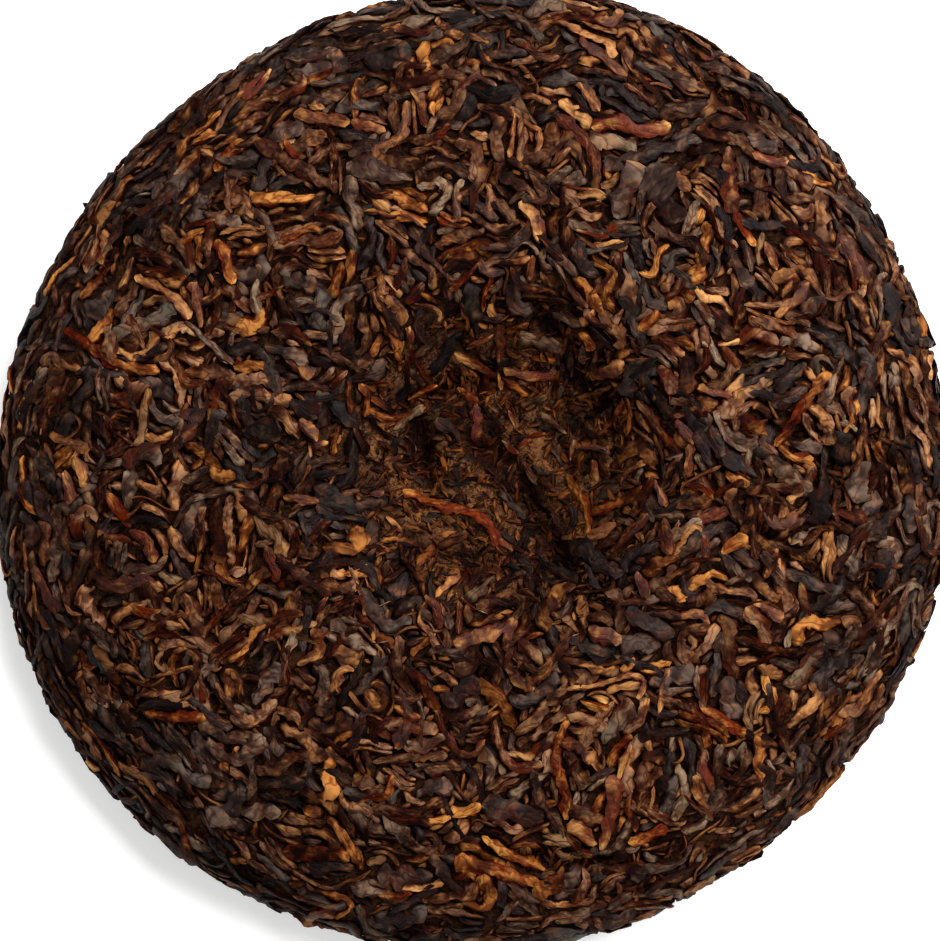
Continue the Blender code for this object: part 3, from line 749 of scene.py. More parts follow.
# Leaves that stand out in the photograph: half the width in millimetres, the tint from dark to light,
# and the x and y of a few points of the middle line in millimetres.
NOTABLES = {
    Kind.RUSSET: (
        (1.1, 0.95, -13.2, -4.2, -9.5, -6.2, -5.2, -7.3, 0, -8.4, 3.2, -9.6, 4.4, -14.7),
        (0.9, 0.8, 52.4, 51.7, 53.6, 48.2, 56.4, 45.4),
        (1, 0.7, -82.3, 28.1, -77.6, 25.7, -73.7, 22.2, -68.2, 20.2, -63.5, 20.2),
        (1, 0.2, 18.3, -50.4, 16.2, -55.4, 16.6, -59.6, 18.7, -63.8, 18.3, -69.6),
        (1.1, 0.9, 2.4, -74.2, 6.6, -77.2, 13.7, -80.1), (1.3, 0.6, -2.6, -78.4, 4.1, -80.5, 12.4, -82.6),
        (1.1, 1, 32.1, -74.3, 35, -73.2, 38.3, -71.7), (1.3, 1, -51.1, 45.4, -49.5, 42, -48.5, 38.2),
        (0.9, 1, 33.9, 29, 35.8, 30.2, 37, 32.6), (1, 0.3, 70.4, 19.2, 65.7, 12.6, 60.5, 5.4),
        (1.2, 0.6, -65.5, -48.9, -60, -49.3, -54.2, -49.3), (1, 0.9, 46.2, -47.8, 50, -50, 54.4, -53),
        (0.5, 0.4, -4.4, 36.8, -1.5, 38.6, 1.3, 42.1), (0.7, 0.7, 3.4, 38.5, 1.9, 35.5, 1.7, 32.3),
        (0.8, 0.9, -2.6, 16.6, 0.7, 14.4), (0.5, 0.4, -13.1, 25.3, -11.9, 21.1, -8.3, 17.8),
        (0.6, 0.7, -12.8, 14.9, -10.4, 16.3, -7.4, 17.5), (0.9, 1, 21.7, 27.1, 24.1, 24.7),
        (0.4, 0.1, 19, 28.3, 20.6, 23.8, 21.7, 19.9), (0.6, 0.7, 11.5, 7, 14.5, 7.9),
        (1, 1, 19.4, -1.7, 22, -5.6, 22.9, -8.3, 22.9, -12.5),
        (1, 0.6, -22.3, 16.6, -21.1, 15, -21.9, 11.2), (0.5, 0.3, -24.9, 18, -25.7, 15.9, -24.5, 11.2),
        (0.7, 0.7, -19.8, 17.4, -18.1, 18.3, -16.9, 17.2),
        (0.7, 0.2, -21, 12.2, -19, 10.8, -15.7, 10.6, -13.2, 11.8, -10, 13),
        (1, 1, 50.4, -15.8, 54.4, -13.2),
    ),
    Kind.GOLD: (
        (1.3, 1.3, 24.9, 69.6, 27.5, 70.9, 30.6, 69, 34.1, 67.9, 38.8, 69.6),
        (0.9, 0.3, 21.2, 77.8, 23, 75.5, 25, 72.8),
        (1.1, 0.2, 17.5, 70.8, 21, 67.7, 23.3, 65.5, 24.1, 61.8, 24.3, 57.2),
        (1.2, 0.6, 57.1, 63.6, 59.9, 61.8, 62.7, 63), (0.9, 0.5, 58.6, 45.2, 59.6, 43, 60.5, 40.5),
        (0.7, 0.1, -64.7, 28.4, -60.4, 26.1, -60.8, 23.7, -63.9, 22.2),
        (0.9, 0.5, -67.8, 39, -63.5, 37.1, -59.6, 34.7, -57.6, 30.8),
        (0.9, 0.4, -56.1, 37.1, -55.5, 33.2, -55, 29.2), (1, 0.6, -82.1, -1, -81.8, -3.5, -81.4, -6),
        (1.1, 0.4, -68.2, -12.3, -65.3, -13.3, -64.7, -17.8),
        (1.5, 0.6, 27.9, -62.1, 28.3, -66.3, 27, -72.2, 25.4, -75.5),
        (1.6, 1, 20.4, -70.9, 22, -72.4, 23.7, -74.9),
        (0.8, 0.4, -7.2, -48.8, -6, -53.3, -2.6, -57.5, 0.3, -57.5, 1.9, -53.8),
        (0.6, 0.5, 18.7, -43.7, 25.8, -42.9, 29.6, -40.4, 35.4, -41.2, 32.5, -45.4),
        (1.2, 0.5, -35.1, 72, -29.6, 70.8, -25.6, 70.4), (1.1, 0.4, -23.5, 70, -21, 69.2, -18.3, 68.5),
        (0.9, 0.5, -41.5, -15.7, -40.5, -19, -39.4, -21.8), (1, 0.1, -89, -20.2, -87, -24.5, -84.9, -28.4),
        (0.5, 0.4, -11.4, 33.5, -8.3, 33.1, -5.8, 31.2, -7.5, 30.4),
        (1, 0.75, -0.5, 25.3, 1.4, 26, 3.4, 27.4), (0.8, 0.2, 5, 28.6, 5.2, 25.3, 4.9, 22.3),
        (0.9, 0.5, -3.2, 23.3, 0.1, 21.4, 4.3, 19.6), (0.7, 0.4, 6.7, 20.6, 9.7, 19.4, 16.1, 19.2),
        (0.5, 0.5, 4.9, 19.4, 5.5, 16.3), (1, 0.2, 0.4, 12.7, 0.6, 9.8, 0.4, 6.5),
        (0.8, 0.8, -13.1, 28, -12.8, 26.2), (0.8, 0.4, 11.5, 42.4, 10.9, 38.5),
        (1.3, 0.1, 24.7, 19.6, 27, 20.4, 29.2, 21.7), (0.8, 0.6, 24.1, 1.5, 24.7, -0.3, 24.5, -1.9),
        (0.8, 0.6, 9.7, 5.2, 11.6, 6.7), (0.7, 0.6, 5.8, -14.2, 7.7, -16.1),
        (0.8, 0.6, -9.2, -25.7, -7.5, -27.6, -6.9, -31.5),
        (1.4, 0.3, -3, -34.1, 1.3, -32.9, 6, -31.5, 7.7, -30), (1.6, 0.2, 24, -32, 29, -33.5),
        (0.6, 0.7, -17.3, -9.5, -14.2, -12.6), (0.8, 0.4, -37.4, -5.2, -30.8, -5.8),
        (0.5, 0.2, -16.9, 2.4, -14.4, 3.2), (0.6, 0.2, -26.1, -4.5, -23.2, -3.9),
        (0.6, 0.3, -20.4, -4.5, -18.1, -4.3), (1.3, 0.3, -34, 9.5, -32, 6.5),
        (0.8, 0.9, -31, 5.3, -29.7, 5.7), (1.3, 0.4, -36.6, 21.6, -32.8, 19.8),
        (0.7, 0.8, 49.5, 25.5, 53.9, 26.2), (1.2, 0.8, 50.4, 24, 52.4, 21),
        (0.9, 0.7, 45.4, 16.5, 48.5, 15.5, 51.4, 15.5), (0.9, 0.5, 41, 9.5, 43.5, 6),
        (1.1, 0.5, 42.9, 4.1, 42.5, -0.3), (0.6, 0.3, 30.5, -0.3, 34.5, 2.2),
        (1.2, 0, 28.6, -15.3, 34.5, -8.8), (1, 0.3, 37, -3.4, 38.5, -6.9), (1, 0.2, 38, -10.3, 39, -16.3),
        (1.2, 0.3, 46.4, -9.3, 50.9, -7.9), (1.1, 0.1, 33, -21.2, 34.5, -24.7),
        (0.8, 0.4, 42, -29.2, 45.4, -27.7, 47, -30.6),
    ),
    Kind.BLACK: (
        (1.3, 0.3, 27.9, 61.2, 33.8, 63.3, 39.4, 65.5, 45.2, 66.7),
        (1.3, 0.2, 34.2, -52.9, 39.2, -52.5, 42.9, -51.7), (1.6, 0.1, 70.4, 3.4, 69.8, -3.2, 69.2, -9.9),
        (0.5, 0.9, 23.3, 29, 28, 24.1), (1.5, 0.6, -36, 13.5, -32.5, 11), (1.2, 0.8, 45, 7, 47, 2),
        (1.2, 0.8, 48, 8, 50, 3), (1.6, 0.9, 31.5, -28.6, 35.4, -31, 39.4, -32.5),
    ),
    Kind.BROWN: (
        (1.4, 0.7, 51.1, 63.9, 51.5, 58, 51.7, 52.4),
        (0.8, 0.7, 4.1, -50.4, 5.3, -57.1, 7.8, -59.6, 13.7, -58.8),
        (1.3, 0.9, 55.4, -28.4, 57.5, -31, 58.5, -34.5), (0.9, 0.7, -11, 36.8, -13.4, 33.7),
        (0.6, 0.8, 13.6, 39.4, 15.4, 37), (0.5, 0.8, 7.3, 11.8, 8.2, 9.1), (0.6, 0.8, 20, 5.8, 19.4, 2.2),
        (0.5, 0.7, 6, 6, 9.1, 3.7), (0.6, 0.5, -3, -27, -3.2, -32.7), (0.6, 0.8, -28.4, 17.6, -25.5, 20.2),
        (1.3, 0.6, 38, 20, 40, 16), (1, 0.7, 33, 13.5, 36.5, 9.1, 40.5, 3.6),
        (1.1, 1, 47.4, -22.7, 50.4, -23.7),
    ),
    Kind.BROAD: (
        (2, 0.95, 32.6, 60.5, 30, 56, 28.5, 51.3), (2.5, 0.35, 35.1, 59.9, 37.5, 55.5, 40.1, 50.5),
        (1.6, 1, -69.2, 1.8, -66.5, 4.6, -63.3, 2.6), (1.9, 0.45, -4.7, -46.2, -1.8, -42.9, 1.5, -42.5),
        (1.9, 0.2, 2.8, -67.1, 7.4, -68, 13.3, -69.6), (1.7, 0.7, -18.1, -81.4, -13.5, -81.6, -8.9, -81.4),
        (1.7, 1, 30.4, -46.9, 27.9, -50.4, 26.2, -54.2), (1.5, 0.95, -24.5, 60.8, -19, 60, -13.2, 58.7),
    ),
    Kind.UMBER: (
        (1.2, 0.6, -56.7, 19.8, -52.5, 19.5, -48.5, 19.4),
        (1, 0.8, -19.4, -57.9, -13.1, -57.1, -5.9, -57.1), (1.3, 0.5, -42.9, 65.9, -36, 61.5, -28.6, 56.7),
    ),
    Kind.TAUPE: (
        (0.8, 0.7, -15.5, 9.1, -12.8, 11.8, -10.1, 13), (0.9, 0.8, 16.6, 40.9, 18.7, 37.4, 22.3, 33.1),
        (0.5, 0.9, 14.2, 11.5, 18.7, 7.6), (0.7, 0.9, 10, 1.6, 12.7, -2.4),
        (0.7, 1, -31.7, 17.8, -29.4, 18.7, -28.4, 21), (0.8, 0.7, -37.8, 16.6, -35.1, 17.8, -29.4, 16.6),
        (0.8, 1, 45, 33.4, 48.9, 28),
    ),
    Kind.STALK: (
        (0.4, 0.6, 43.5, -17.7, 50.4, -17.7),
    ),
    Kind.FIBRE: (
        (0.12, 1, -13.8, 7.2, -11.5, 5, -12.1, 3), (0.12, 1, -12.8, 1.3, -12.2, 0.3, -10.6, 0.1),
        (0.14, 1.2, -3.8, -24.5, -1.8, -26.6, 0.4, -27.9),
        (0.12, 1.2, -2.6, -25.4, -0.5, -27.6, 3.2, -28.8), (0.12, 1.2, -2, -27.6, 0.9, -28.2, 2.2, -27.4),
    ),
}


@dataclass
class Laying:
    """Lays every leaf of one face: those that stand out first, then the largest, down to the bits."""

    KINDS = (Kind.BLACK, Kind.UMBER, Kind.TAUPE, Kind.BROWN, Kind.RUSSET, Kind.GOLD)
    OUTSIDE = np.array((0.20, 0.25, 0.20, 0.21, 0.105, 0.035))
    INSIDE = np.array((0.20, 0.27, 0.16, 0.19, 0.15, 0.03))

    chart: Chart
    seed: int
    ring_step: float
    fine_reach: float = 44 * MM
    side_sink: float = 0.45 * MM
    groove_spread: float = 1.2 * MM
    patch_sizes: Pair = (11 * MM, 5.5 * MM)
    pleat_width: float = 0.95 * MM
    pleat_share: float = 0.2
    pleat_bend: float = 1.1
    pleat_points: int = 8
    wide_pleat: float = 1.5
    # Notables take only this share of the painted shade and the crush darkening.
    notable_gloom: float = 0.25
    notable_tint: float = 0.25
    notable_lift: float = 0.5
    notable_rise: Pair = mm(0.1, 0.35)
    notable_thickness: Pair = (0.5, 0.65)
    broad_thickness: Pair = (0.22, 0.3)
    shallow_sink: float = 0.5 * MM
    widest_bud: float = 1.1 * MM
    fine_range: Pair = (0.12, 0.7)
    fine_shrink: float = 0.4
    clear_share: float = 0.55
    rim_range: Pair = (0.74, 0.92)
    side_range: Pair = (0.76, 0.9)
    broad_patch: float = 1.6
    narrow_patch: float = 1.5
    least_chance: float = 0.01
    bed: LeafBed = field(init=False)

    def __post_init__(self) -> None:
        """Makes the empty bed."""
        self.bed = LeafBed(self.chart, self.seed, self.ring_step)

    def fineness(self, place: Array) -> float:
        """How finely the leaves are crushed at a place: 1 on the floor of the dimple, 0 outside it."""
        if self.chart.face is Face.UNDER:
            return 0.0
        share = self.chart.form.dimple_share(place[:1], place[1:])[0]
        return float(smoothstep(*self.fine_range, share))

    def pick_kind(self, place: Array, fine: float) -> Kind:
        """Draws a kind of leaf for a place, by how finely the leaves are crushed there."""
        chances = self.OUTSIDE * (1.0 - fine) + self.INSIDE * fine
        spot = Vector((*place, 0.0))
        broad, narrow = (noise.noise(spot / size) for size in self.patch_sizes)
        patch = self.broad_patch * broad + self.narrow_patch * narrow
        # Painted light: lighter kinds are drawn more often where the painted light is raised, and less often
        # towards the rim.
        patch += float(self.chart.form.brightness(place[:1], place[1:])[0])
        rim = float(smoothstep(*self.rim_range, math.hypot(*place) / self.chart.form.radius))
        bright = 1.0 + patch - 0.35 * rim
        chances = chances * np.array((
            1.0 - 1.3 * patch + 0.5 * rim, 1.0, 1.0 + 0.4 * patch, bright, bright,
            1.0 + 2.0 * patch - 0.3 * rim))
        chances = np.clip(chances, self.least_chance, None)
        return self.KINDS[self.bed.draw.choice(len(self.KINDS), p=chances / chances.sum())]

    def lay_notables(self) -> None:
        """Lays the leaves that stand out in the photograph."""
        bed = self.bed
        rows = [(kind, *row) for kind, group in NOTABLES.items() for row in group]
        for kind, half_width, tint, *points in rows:
            corners = np.array(points).reshape(-1, 2) * MM
            ways = ways_along(corners)
            count = max(round(ways[-1] / bed.STEP), 2)
            line = resampled(corners, ways, np.linspace(0.0, ways[-1], 4 * count))
            for _ in range(6 * count):
                soften(line)
            line = self.mapped(line)[::4]
            wide = np.full(len(line), half_width * MM)
            bed.mark(line, wide)
            bed.kept.append((line, wide))
            thickness = self.broad_thickness if kind is Kind.BROAD else self.notable_thickness
            bed.lay(kind, line, wide, self.notable_rise, thickness, self.shallow_sink)
            inside = self.fineness(line[len(line) // 2])
            bed.leaves[-1].tint = self.notable_tint + tint + self.notable_lift * inside
            bed.leaves[-1].gloom_share = self.notable_gloom

    def fill(self, leaves: LeafRound) -> None:
        """Lays the leaves of one round wherever there is room."""
        bed, draw = self.bed, self.bed.draw
        before = len(bed.leaves)
        for _ in range(leaves.tries):
            place, out = bed.random_place(leaves.band)
            if bed.taken[bed.cells(place)]:
                continue
            fine = self.fineness(place)
            if leaves.crowd < 1.0 and draw.uniform() < fine * (1.0 - leaves.crowd):
                continue
            shrink = 1.0 - self.fine_shrink * fine
            half_width = draw.uniform(*leaves.half_width) * shrink
            found = bed.best_line(place, leaves, self.clear_share * half_width)
            if found is None:
                continue
            line, heading = found
            if fine > 0.0 and len(line) > 3:
                keep = max(3, round(len(line) * shrink))
                line, heading = line[:keep], heading[:keep]
            line, wide = bed.fitted(line, heading, half_width)
            bed.mark(line, wide)
            kind = leaves.kind or self.pick_kind(place, fine)
            if kind is Kind.GOLD:
                wide = np.minimum(wide, self.widest_bud)
            sunk = self.side_sink * float(smoothstep(*self.side_range, out / self.chart.reach))
            lift = (leaves.lift[0] - 0.5 * sunk, leaves.lift[1] - sunk)
            narrow = wide.mean() < self.pleat_width or len(line) < self.pleat_points
            if narrow or np.ptp(heading) > self.pleat_bend or draw.uniform() > self.pleat_share:
                bed.lay(kind, line, wide, lift, leaves.thickness)
            else:
                folds = 2 if wide.mean() < self.wide_pleat * self.pleat_width else 3
                bed.pleat(kind, line, wide, lift, folds)
        lengths = tuple(length / MM for length in leaves.length)
        LOG.info("%s face: %d folds and leaves of %.0f to %.0f mm", self.chart.face.value,
                 len(bed.leaves) - before, *lengths)

    def crushed_places(self, count: int) -> Array:
        """Random places of the map, most of them where the leaves are crushed."""
        draw = self.bed.draw
        out = self.fine_reach * np.sqrt(draw.uniform(size=count))
        places = polar(out, draw.uniform(0.0, math.tau, count))
        fine = np.array([self.fineness(place) for place in places])
        free = ~self.bed.taken[self.bed.cells(places)]
        return places[free & (draw.uniform(size=count) < fine + 0.1)]

    def groove_places(self, grooves: Rows, spacing: float) -> Array:
        """Random places of the map along some grooves, at a mean spacing."""
        places = []
        for row in grooves:
            first, last = np.array(row[:2]) * MM, np.array(row[2:4]) * MM
            count = max(round(float(np.linalg.norm(last - first)) / spacing), 4)
            share = self.bed.draw.uniform(size=(count, 1))
            drift = self.bed.draw.normal(0.0, self.groove_spread, (count, 2))
            places.append(first + (last - first) * share + drift)
        return self.mapped(np.vstack(places))

    def mapped(self, places: Array) -> Array:
        """The places of the map that belong to some places seen from above."""
        form = self.chart.form
        half = len(form.line) // 2
        bearing = np.arctan2(places[:, 1], places[:, 0])
        radius = np.hypot(places[:, 0], places[:, 1]) / form.outline_share(bearing)
        return polar(np.interp(radius, form.line[:half, 0], form.ways[:half]), bearing)

    def scatter(self, leaves: LeafRound, places: Array) -> None:
        """Lays the loose pieces of one round over the others, at some places of the map."""
        bed, draw = self.bed, self.bed.draw
        for place in places:
            heading, hold = bed.grain(place)
            turn = heading + draw.normal(0.0, leaves.spread / max(hold, bed.WEAKEST_HOLD))
            pick = draw.integers(bed.SHAPES)
            length = max(round(draw.uniform(*leaves.length) / bed.STEP), 2)
            first = bed.ARM - length // 2
            cosine, sine = math.cos(turn), math.sin(turn)
            turned = np.array(((cosine, sine), (-sine, cosine)))
            line = place + bed.shapes[pick, first:first + length + 1] @ turned
            wide = np.full(len(line), draw.uniform(*leaves.half_width))
            bed.lay(leaves.kind, line, wide, leaves.lift, leaves.thickness, self.shallow_sink)


class NodeTree:
    """Adds nodes to a tree and joins them."""

    def __init__(self, tree: bpy.types.NodeTree) -> None:
        """Takes a tree."""
        self.tree = tree

    def feed(self, node: bpy.types.Node, inputs: dict) -> None:
        """Gives some inputs of a node a socket or a value each, by name or place."""
        for key, value in inputs.items():
            if isinstance(value, Socket):
                self.tree.links.new(value, node.inputs[key])
            else:
                node.inputs[key].default_value = value

    def add(self, kind: str, inputs: dict | None = None, **settings: object) -> bpy.types.Node:
        """Adds a node of some kind with its inputs and its other settings."""
        node = self.tree.nodes.new(kind)
        for name, value in settings.items():
            setattr(node, name, value)
        self.feed(node, inputs or {})
        return node

    def math(self, operation: str, *values: object) -> Socket:
        """A number worked out from others, by the name of its operation."""
        return self.add("ShaderNodeMath", dict(enumerate(values)), operation=operation).outputs[0]

    def vector(self, operation: str, *values: object) -> Socket:
        """A vector worked out from others, by the name of its operation. A dot product is a number."""
        keys = (0, "Scale") if operation == "SCALE" else (0, 1)
        node = self.add("ShaderNodeVectorMath", dict(zip(keys, values)), operation=operation)
        return node.outputs["Value" if operation == "DOT_PRODUCT" else "Vector"]

    def ramp(self, value: Socket, low: float, high: float, first: float = 0.0, last: float = 1.0) -> Socket:
        """A value carried smoothly from the range of low to high to that of first to last."""
        keys = {"Value": value, "From Min": low, "From Max": high, "To Min": first, "To Max": last}
        return self.add("ShaderNodeMapRange", keys, interpolation_type="SMOOTHSTEP").outputs["Result"]

    def mix(self, share: Socket, first: object, second: object, blend: str = "MIX") -> Socket:
        """Two colours mixed by the share of the second."""
        keys = {0: share, 6: first, 7: second}
        settings = {"data_type": "RGBA", "blend_type": blend, "clamp_factor": True}
        return self.add("ShaderNodeMix", keys, **settings).outputs[2]

    def stain(self, share: Socket, colour: Socket, stain: Colour) -> Socket:
        """A colour multiplied by another colour, as far as the share says: real stains and char, painted
        shade, and the lift of pale leaves.
        """
        return self.mix(share, colour, (*stain, 1.0), "MULTIPLY")

    def swing(self, value: Socket, size: float, base: object) -> Socket:
        """A base with a value from 0 to 1 swinging it up and down by half a size."""
        return self.math("MULTIPLY_ADD", self.math("SUBTRACT", value, 0.5), size, base)

    def skin_noise(self, spot: Socket, seed: Socket, detail: float) -> Socket:
        """Noise that differs from leaf to leaf, from 0 to 1."""
        keys = {"Vector": spot, "W": seed, "Scale": 1.0, "Detail": detail}
        return self.add("ShaderNodeTexNoise", keys, noise_dimensions="4D").outputs[0]

    def socket(self, name: str, kind: str, into: bool = True, value: object = None) -> None:
        """Adds a named input or output to the group.

        Args:
            name: Of the socket.
            kind: Its type, such as Float or Color.
            into: Whether it is an input.
            value: Where it starts.
        """
        made = self.tree.interface.new_socket(
            name, in_out="INPUT" if into else "OUTPUT", socket_type=f"NodeSocket{kind}")
        if value is not None:
            made.default_value = value


def new_material(name: str) -> tuple[bpy.types.Material, NodeTree, bpy.types.Node]:
    """A new material, with its tree and its shader."""
    material = bpy.data.materials.new(name)
    material.use_nodes = True
    return material, NodeTree(material.node_tree), material.node_tree.nodes["Principled BSDF"]


class SweepTree:
    """Geometry Nodes that sweep a pressed, twisted leaf along each middle line."""

    NAME = "pressed_leaf_sweep"
    SIZES = {
        "Fold Depth": 0.5, "Fold Count": 1.1, "Fold Length": 4.5 * MM, "Knob Depth": 0.5,
        "Knob Length": 2.2 * MM, "Crinkle Height": 0.3 * MM, "Crinkle Size": 1.1 * MM,
        "Press Level": 0.45 * MM, "Press Share": 0.4, "Crisp Angle": 0.95}

    def __init__(self) -> None:
        """Builds the tree."""
        self.tree = bpy.data.node_groups.new(self.NAME, "GeometryNodeTree")
        make = NodeTree(self.tree)
        self.make = make
        make.socket("Geometry", "Geometry")
        make.socket("Finish", "Material")
        make.socket("Sides", "Int", True, 10)
        for name, size in self.SIZES.items():
            make.socket(name, "Float", True, size)
        make.socket("Geometry", "Geometry", False)
        self.given = make.add("NodeGroupInput").outputs
        pressed = self.press(self.crinkle(self.fold(self.sweep())))
        realized = make.add("GeometryNodeRealizeInstances", {"Geometry": pressed}).outputs[0]
        keys = {"Geometry": realized, "Material": self.given["Finish"]}
        make.add("NodeGroupOutput", {0: make.add("GeometryNodeSetMaterial", keys).outputs[0]})

    def read(self, name: str, kind: str = "FLOAT") -> Socket:
        """The values of a named attribute."""
        return self.make.add("GeometryNodeInputNamedAttribute", {"Name": name}, data_type=kind).outputs[0]

    def keep(self, geometry: Socket, name: str, value: Socket, kind: str = "FLOAT") -> Socket:
        """The geometry with a value kept on each of its points under a name."""
        keys = {"Geometry": geometry, "Name": name, "Value": value}
        settings = {"data_type": kind, "domain": "POINT"}
        return self.make.add("GeometryNodeStoreNamedAttribute", keys, **settings).outputs[0]

    def place(self) -> Socket:
        """Where each point is."""
        return self.make.add("GeometryNodeInputPosition").outputs[0]

    def moved(self, leaves: Socket, way: Socket, size: Socket) -> Socket:
        """The leaves with each point moved along a vector, so many times its length."""
        keys = {"Geometry": leaves, "Offset": self.make.vector("SCALE", way, size)}
        return self.make.add("GeometryNodeSetPosition", keys).outputs[0]

    def off(self) -> Socket:
        """How far each point lies from the middle line."""
        return self.make.vector("SUBTRACT", self.place(), self.read("seat", "FLOAT_VECTOR"))

    def wander(self, across: object, along: Socket, shift: float) -> Socket:
        """Noise over the skin of each leaf.

        Args:
            across: Scale round the section.
            along: Length of one swell along the leaf.
            shift: Moves the pattern.

        Returns:
            The noise, mostly from -1 to 1.
        """
        make = self.make
        ring = make.vector("SCALE", self.read("ring", "FLOAT_VECTOR"), across)
        way = make.math("ADD", make.math("DIVIDE", self.read("along"), along), shift)
        spot = make.vector("ADD", ring, make.add("ShaderNodeCombineXYZ", {"Z": way}).outputs[0])
        return make.math("MULTIPLY_ADD", make.skin_noise(spot, self.read("seed"), 1.0), 4.0, -2.0)

    def sweep(self) -> Socket:
        """The leaves with a round section."""
        make = self.make
        keys = {"Resolution": self.given["Sides"], "Radius": 1.0}
        ring = make.add("GeometryNodeCurvePrimitiveCircle", keys).outputs["Curve"]
        ring = self.keep(ring, "ring", self.place(), "FLOAT_VECTOR")
        line = make.add("GeometryNodeMeshToCurve", {"Mesh": self.given["Geometry"]}).outputs[0]
        keys = {"Curve": line, "Normal": self.read("facing", "FLOAT_VECTOR")}
        line = make.add("GeometryNodeSetCurveNormal", keys, mode="FREE").outputs[0]
        line = make.add("GeometryNodeSetCurveTilt", {"Curve": line, "Tilt": self.read("turn")}).outputs[0]
        line = self.keep(line, "seat", self.place(), "FLOAT_VECTOR")
        keys = {"Curve": line, "Profile Curve": ring, "Scale": self.read("half_width"), "Fill Caps": True}
        return make.add("GeometryNodeCurveToMesh", keys).outputs["Mesh"]

    def fold(self, leaves: Socket) -> Socket:
        """The leaves with folds that run along them, and thicker and thinner lengths."""
        make, given = self.make, self.given
        valleys = make.math("ABSOLUTE", self.wander(given["Fold Count"], given["Fold Length"], 0.0))
        folds = make.math("MULTIPLY", make.math("MULTIPLY_ADD", valleys, 2.4, -1.0), given["Fold Depth"])
        knobs = make.math("MULTIPLY", self.wander(0.45, given["Knob Length"], 9.0), given["Knob Depth"])
        return self.moved(leaves, self.off(), make.math("MAXIMUM", make.math("ADD", folds, knobs), -0.55))

    def crinkle(self, leaves: Socket) -> Socket:
        """The leaves flattened and crinkled."""
        make = self.make
        facing = self.read("facing", "FLOAT_VECTOR")
        high = make.vector("DOT_PRODUCT", self.off(), facing)
        flatter = make.math("MULTIPLY", high, make.math("SUBTRACT", self.read("thickness"), 1.0))
        leaves = self.moved(leaves, facing, flatter)
        spot = make.vector("SCALE", self.place(), make.math("DIVIDE", 1.0, self.given["Crinkle Size"]))
        rough = make.math("MULTIPLY_ADD", make.skin_noise(spot, self.read("seed"), 2.0), 2.0, -1.0)
        normal = make.add("GeometryNodeInputNormal").outputs[0]
        return self.moved(leaves, normal, make.math("MULTIPLY", rough, self.given["Crinkle Height"]))

    def press(self, leaves: Socket) -> Socket:
        """The leaves pressed down to the level of the cake's face, and kept above the floor."""
        make = self.make
        facing = self.read("facing", "FLOAT_VECTOR")
        high = make.vector("DOT_PRODUCT", self.off(), facing)
        rise = make.math("ADD", high, self.read("lift"))
        depth = make.math("MULTIPLY", self.read("half_width"), self.read("thickness"))
        over = make.math("MAXIMUM", make.math("SUBTRACT", rise, self.given["Press Level"]), 0.0)
        down = make.math("MULTIPLY", over, make.math("SUBTRACT", self.given["Press Share"], 1.0))
        leaves = self.moved(leaves, facing, down)
        # Kept for the skin's painted shade: the height over the surface, and the place across the section.
        leaves = self.keep(self.keep(leaves, "rise", rise), "flank", make.math("DIVIDE", high, depth))
        parts = make.add("ShaderNodeSeparateXYZ", {0: self.place()}).outputs
        keys = {"X": parts[0], "Y": parts[1], "Z": make.math("MAXIMUM", parts[2], 0.0)}
        above = make.add("ShaderNodeCombineXYZ", keys).outputs[0]
        leaves = make.add("GeometryNodeSetPosition", {"Geometry": leaves, "Position": above}).outputs[0]
        leaves = make.add("GeometryNodeSetShadeSmooth", {"Geometry": leaves}).outputs[0]
        angle = make.add("GeometryNodeInputMeshEdgeAngle").outputs["Unsigned Angle"]
        keys = {"Geometry": leaves, "Shade Smooth": make.math("LESS_THAN", angle, self.given["Crisp Angle"])}
        return make.add("GeometryNodeSetShadeSmooth", keys, domain="EDGE").outputs[0]

    def made(self, lines: bpy.types.Object, name: str, values: dict[str, object]) -> bpy.types.Object:
        """A plain mesh object of the leaves along some middle lines.

        Args:
            lines: Object that holds the middle lines. It is removed.
            name: Of the new object.
            values: Of the tree's inputs, by name.

        Returns:
            The object.
        """
        modifier = lines.modifiers.new("sweep", "NODES")
        modifier.node_group = self.tree
        for item in self.tree.interface.items_tree:
            if item.item_type == "SOCKET" and item.in_out == "INPUT" and item.name in values:
                modifier[item.identifier] = values[item.name]
        graph = bpy.context.evaluated_depsgraph_get()
        mesh = bpy.data.meshes.new_from_object(lines.evaluated_get(graph))
        bpy.data.objects.remove(lines)
        mesh.name = name
        return placed(name, mesh)


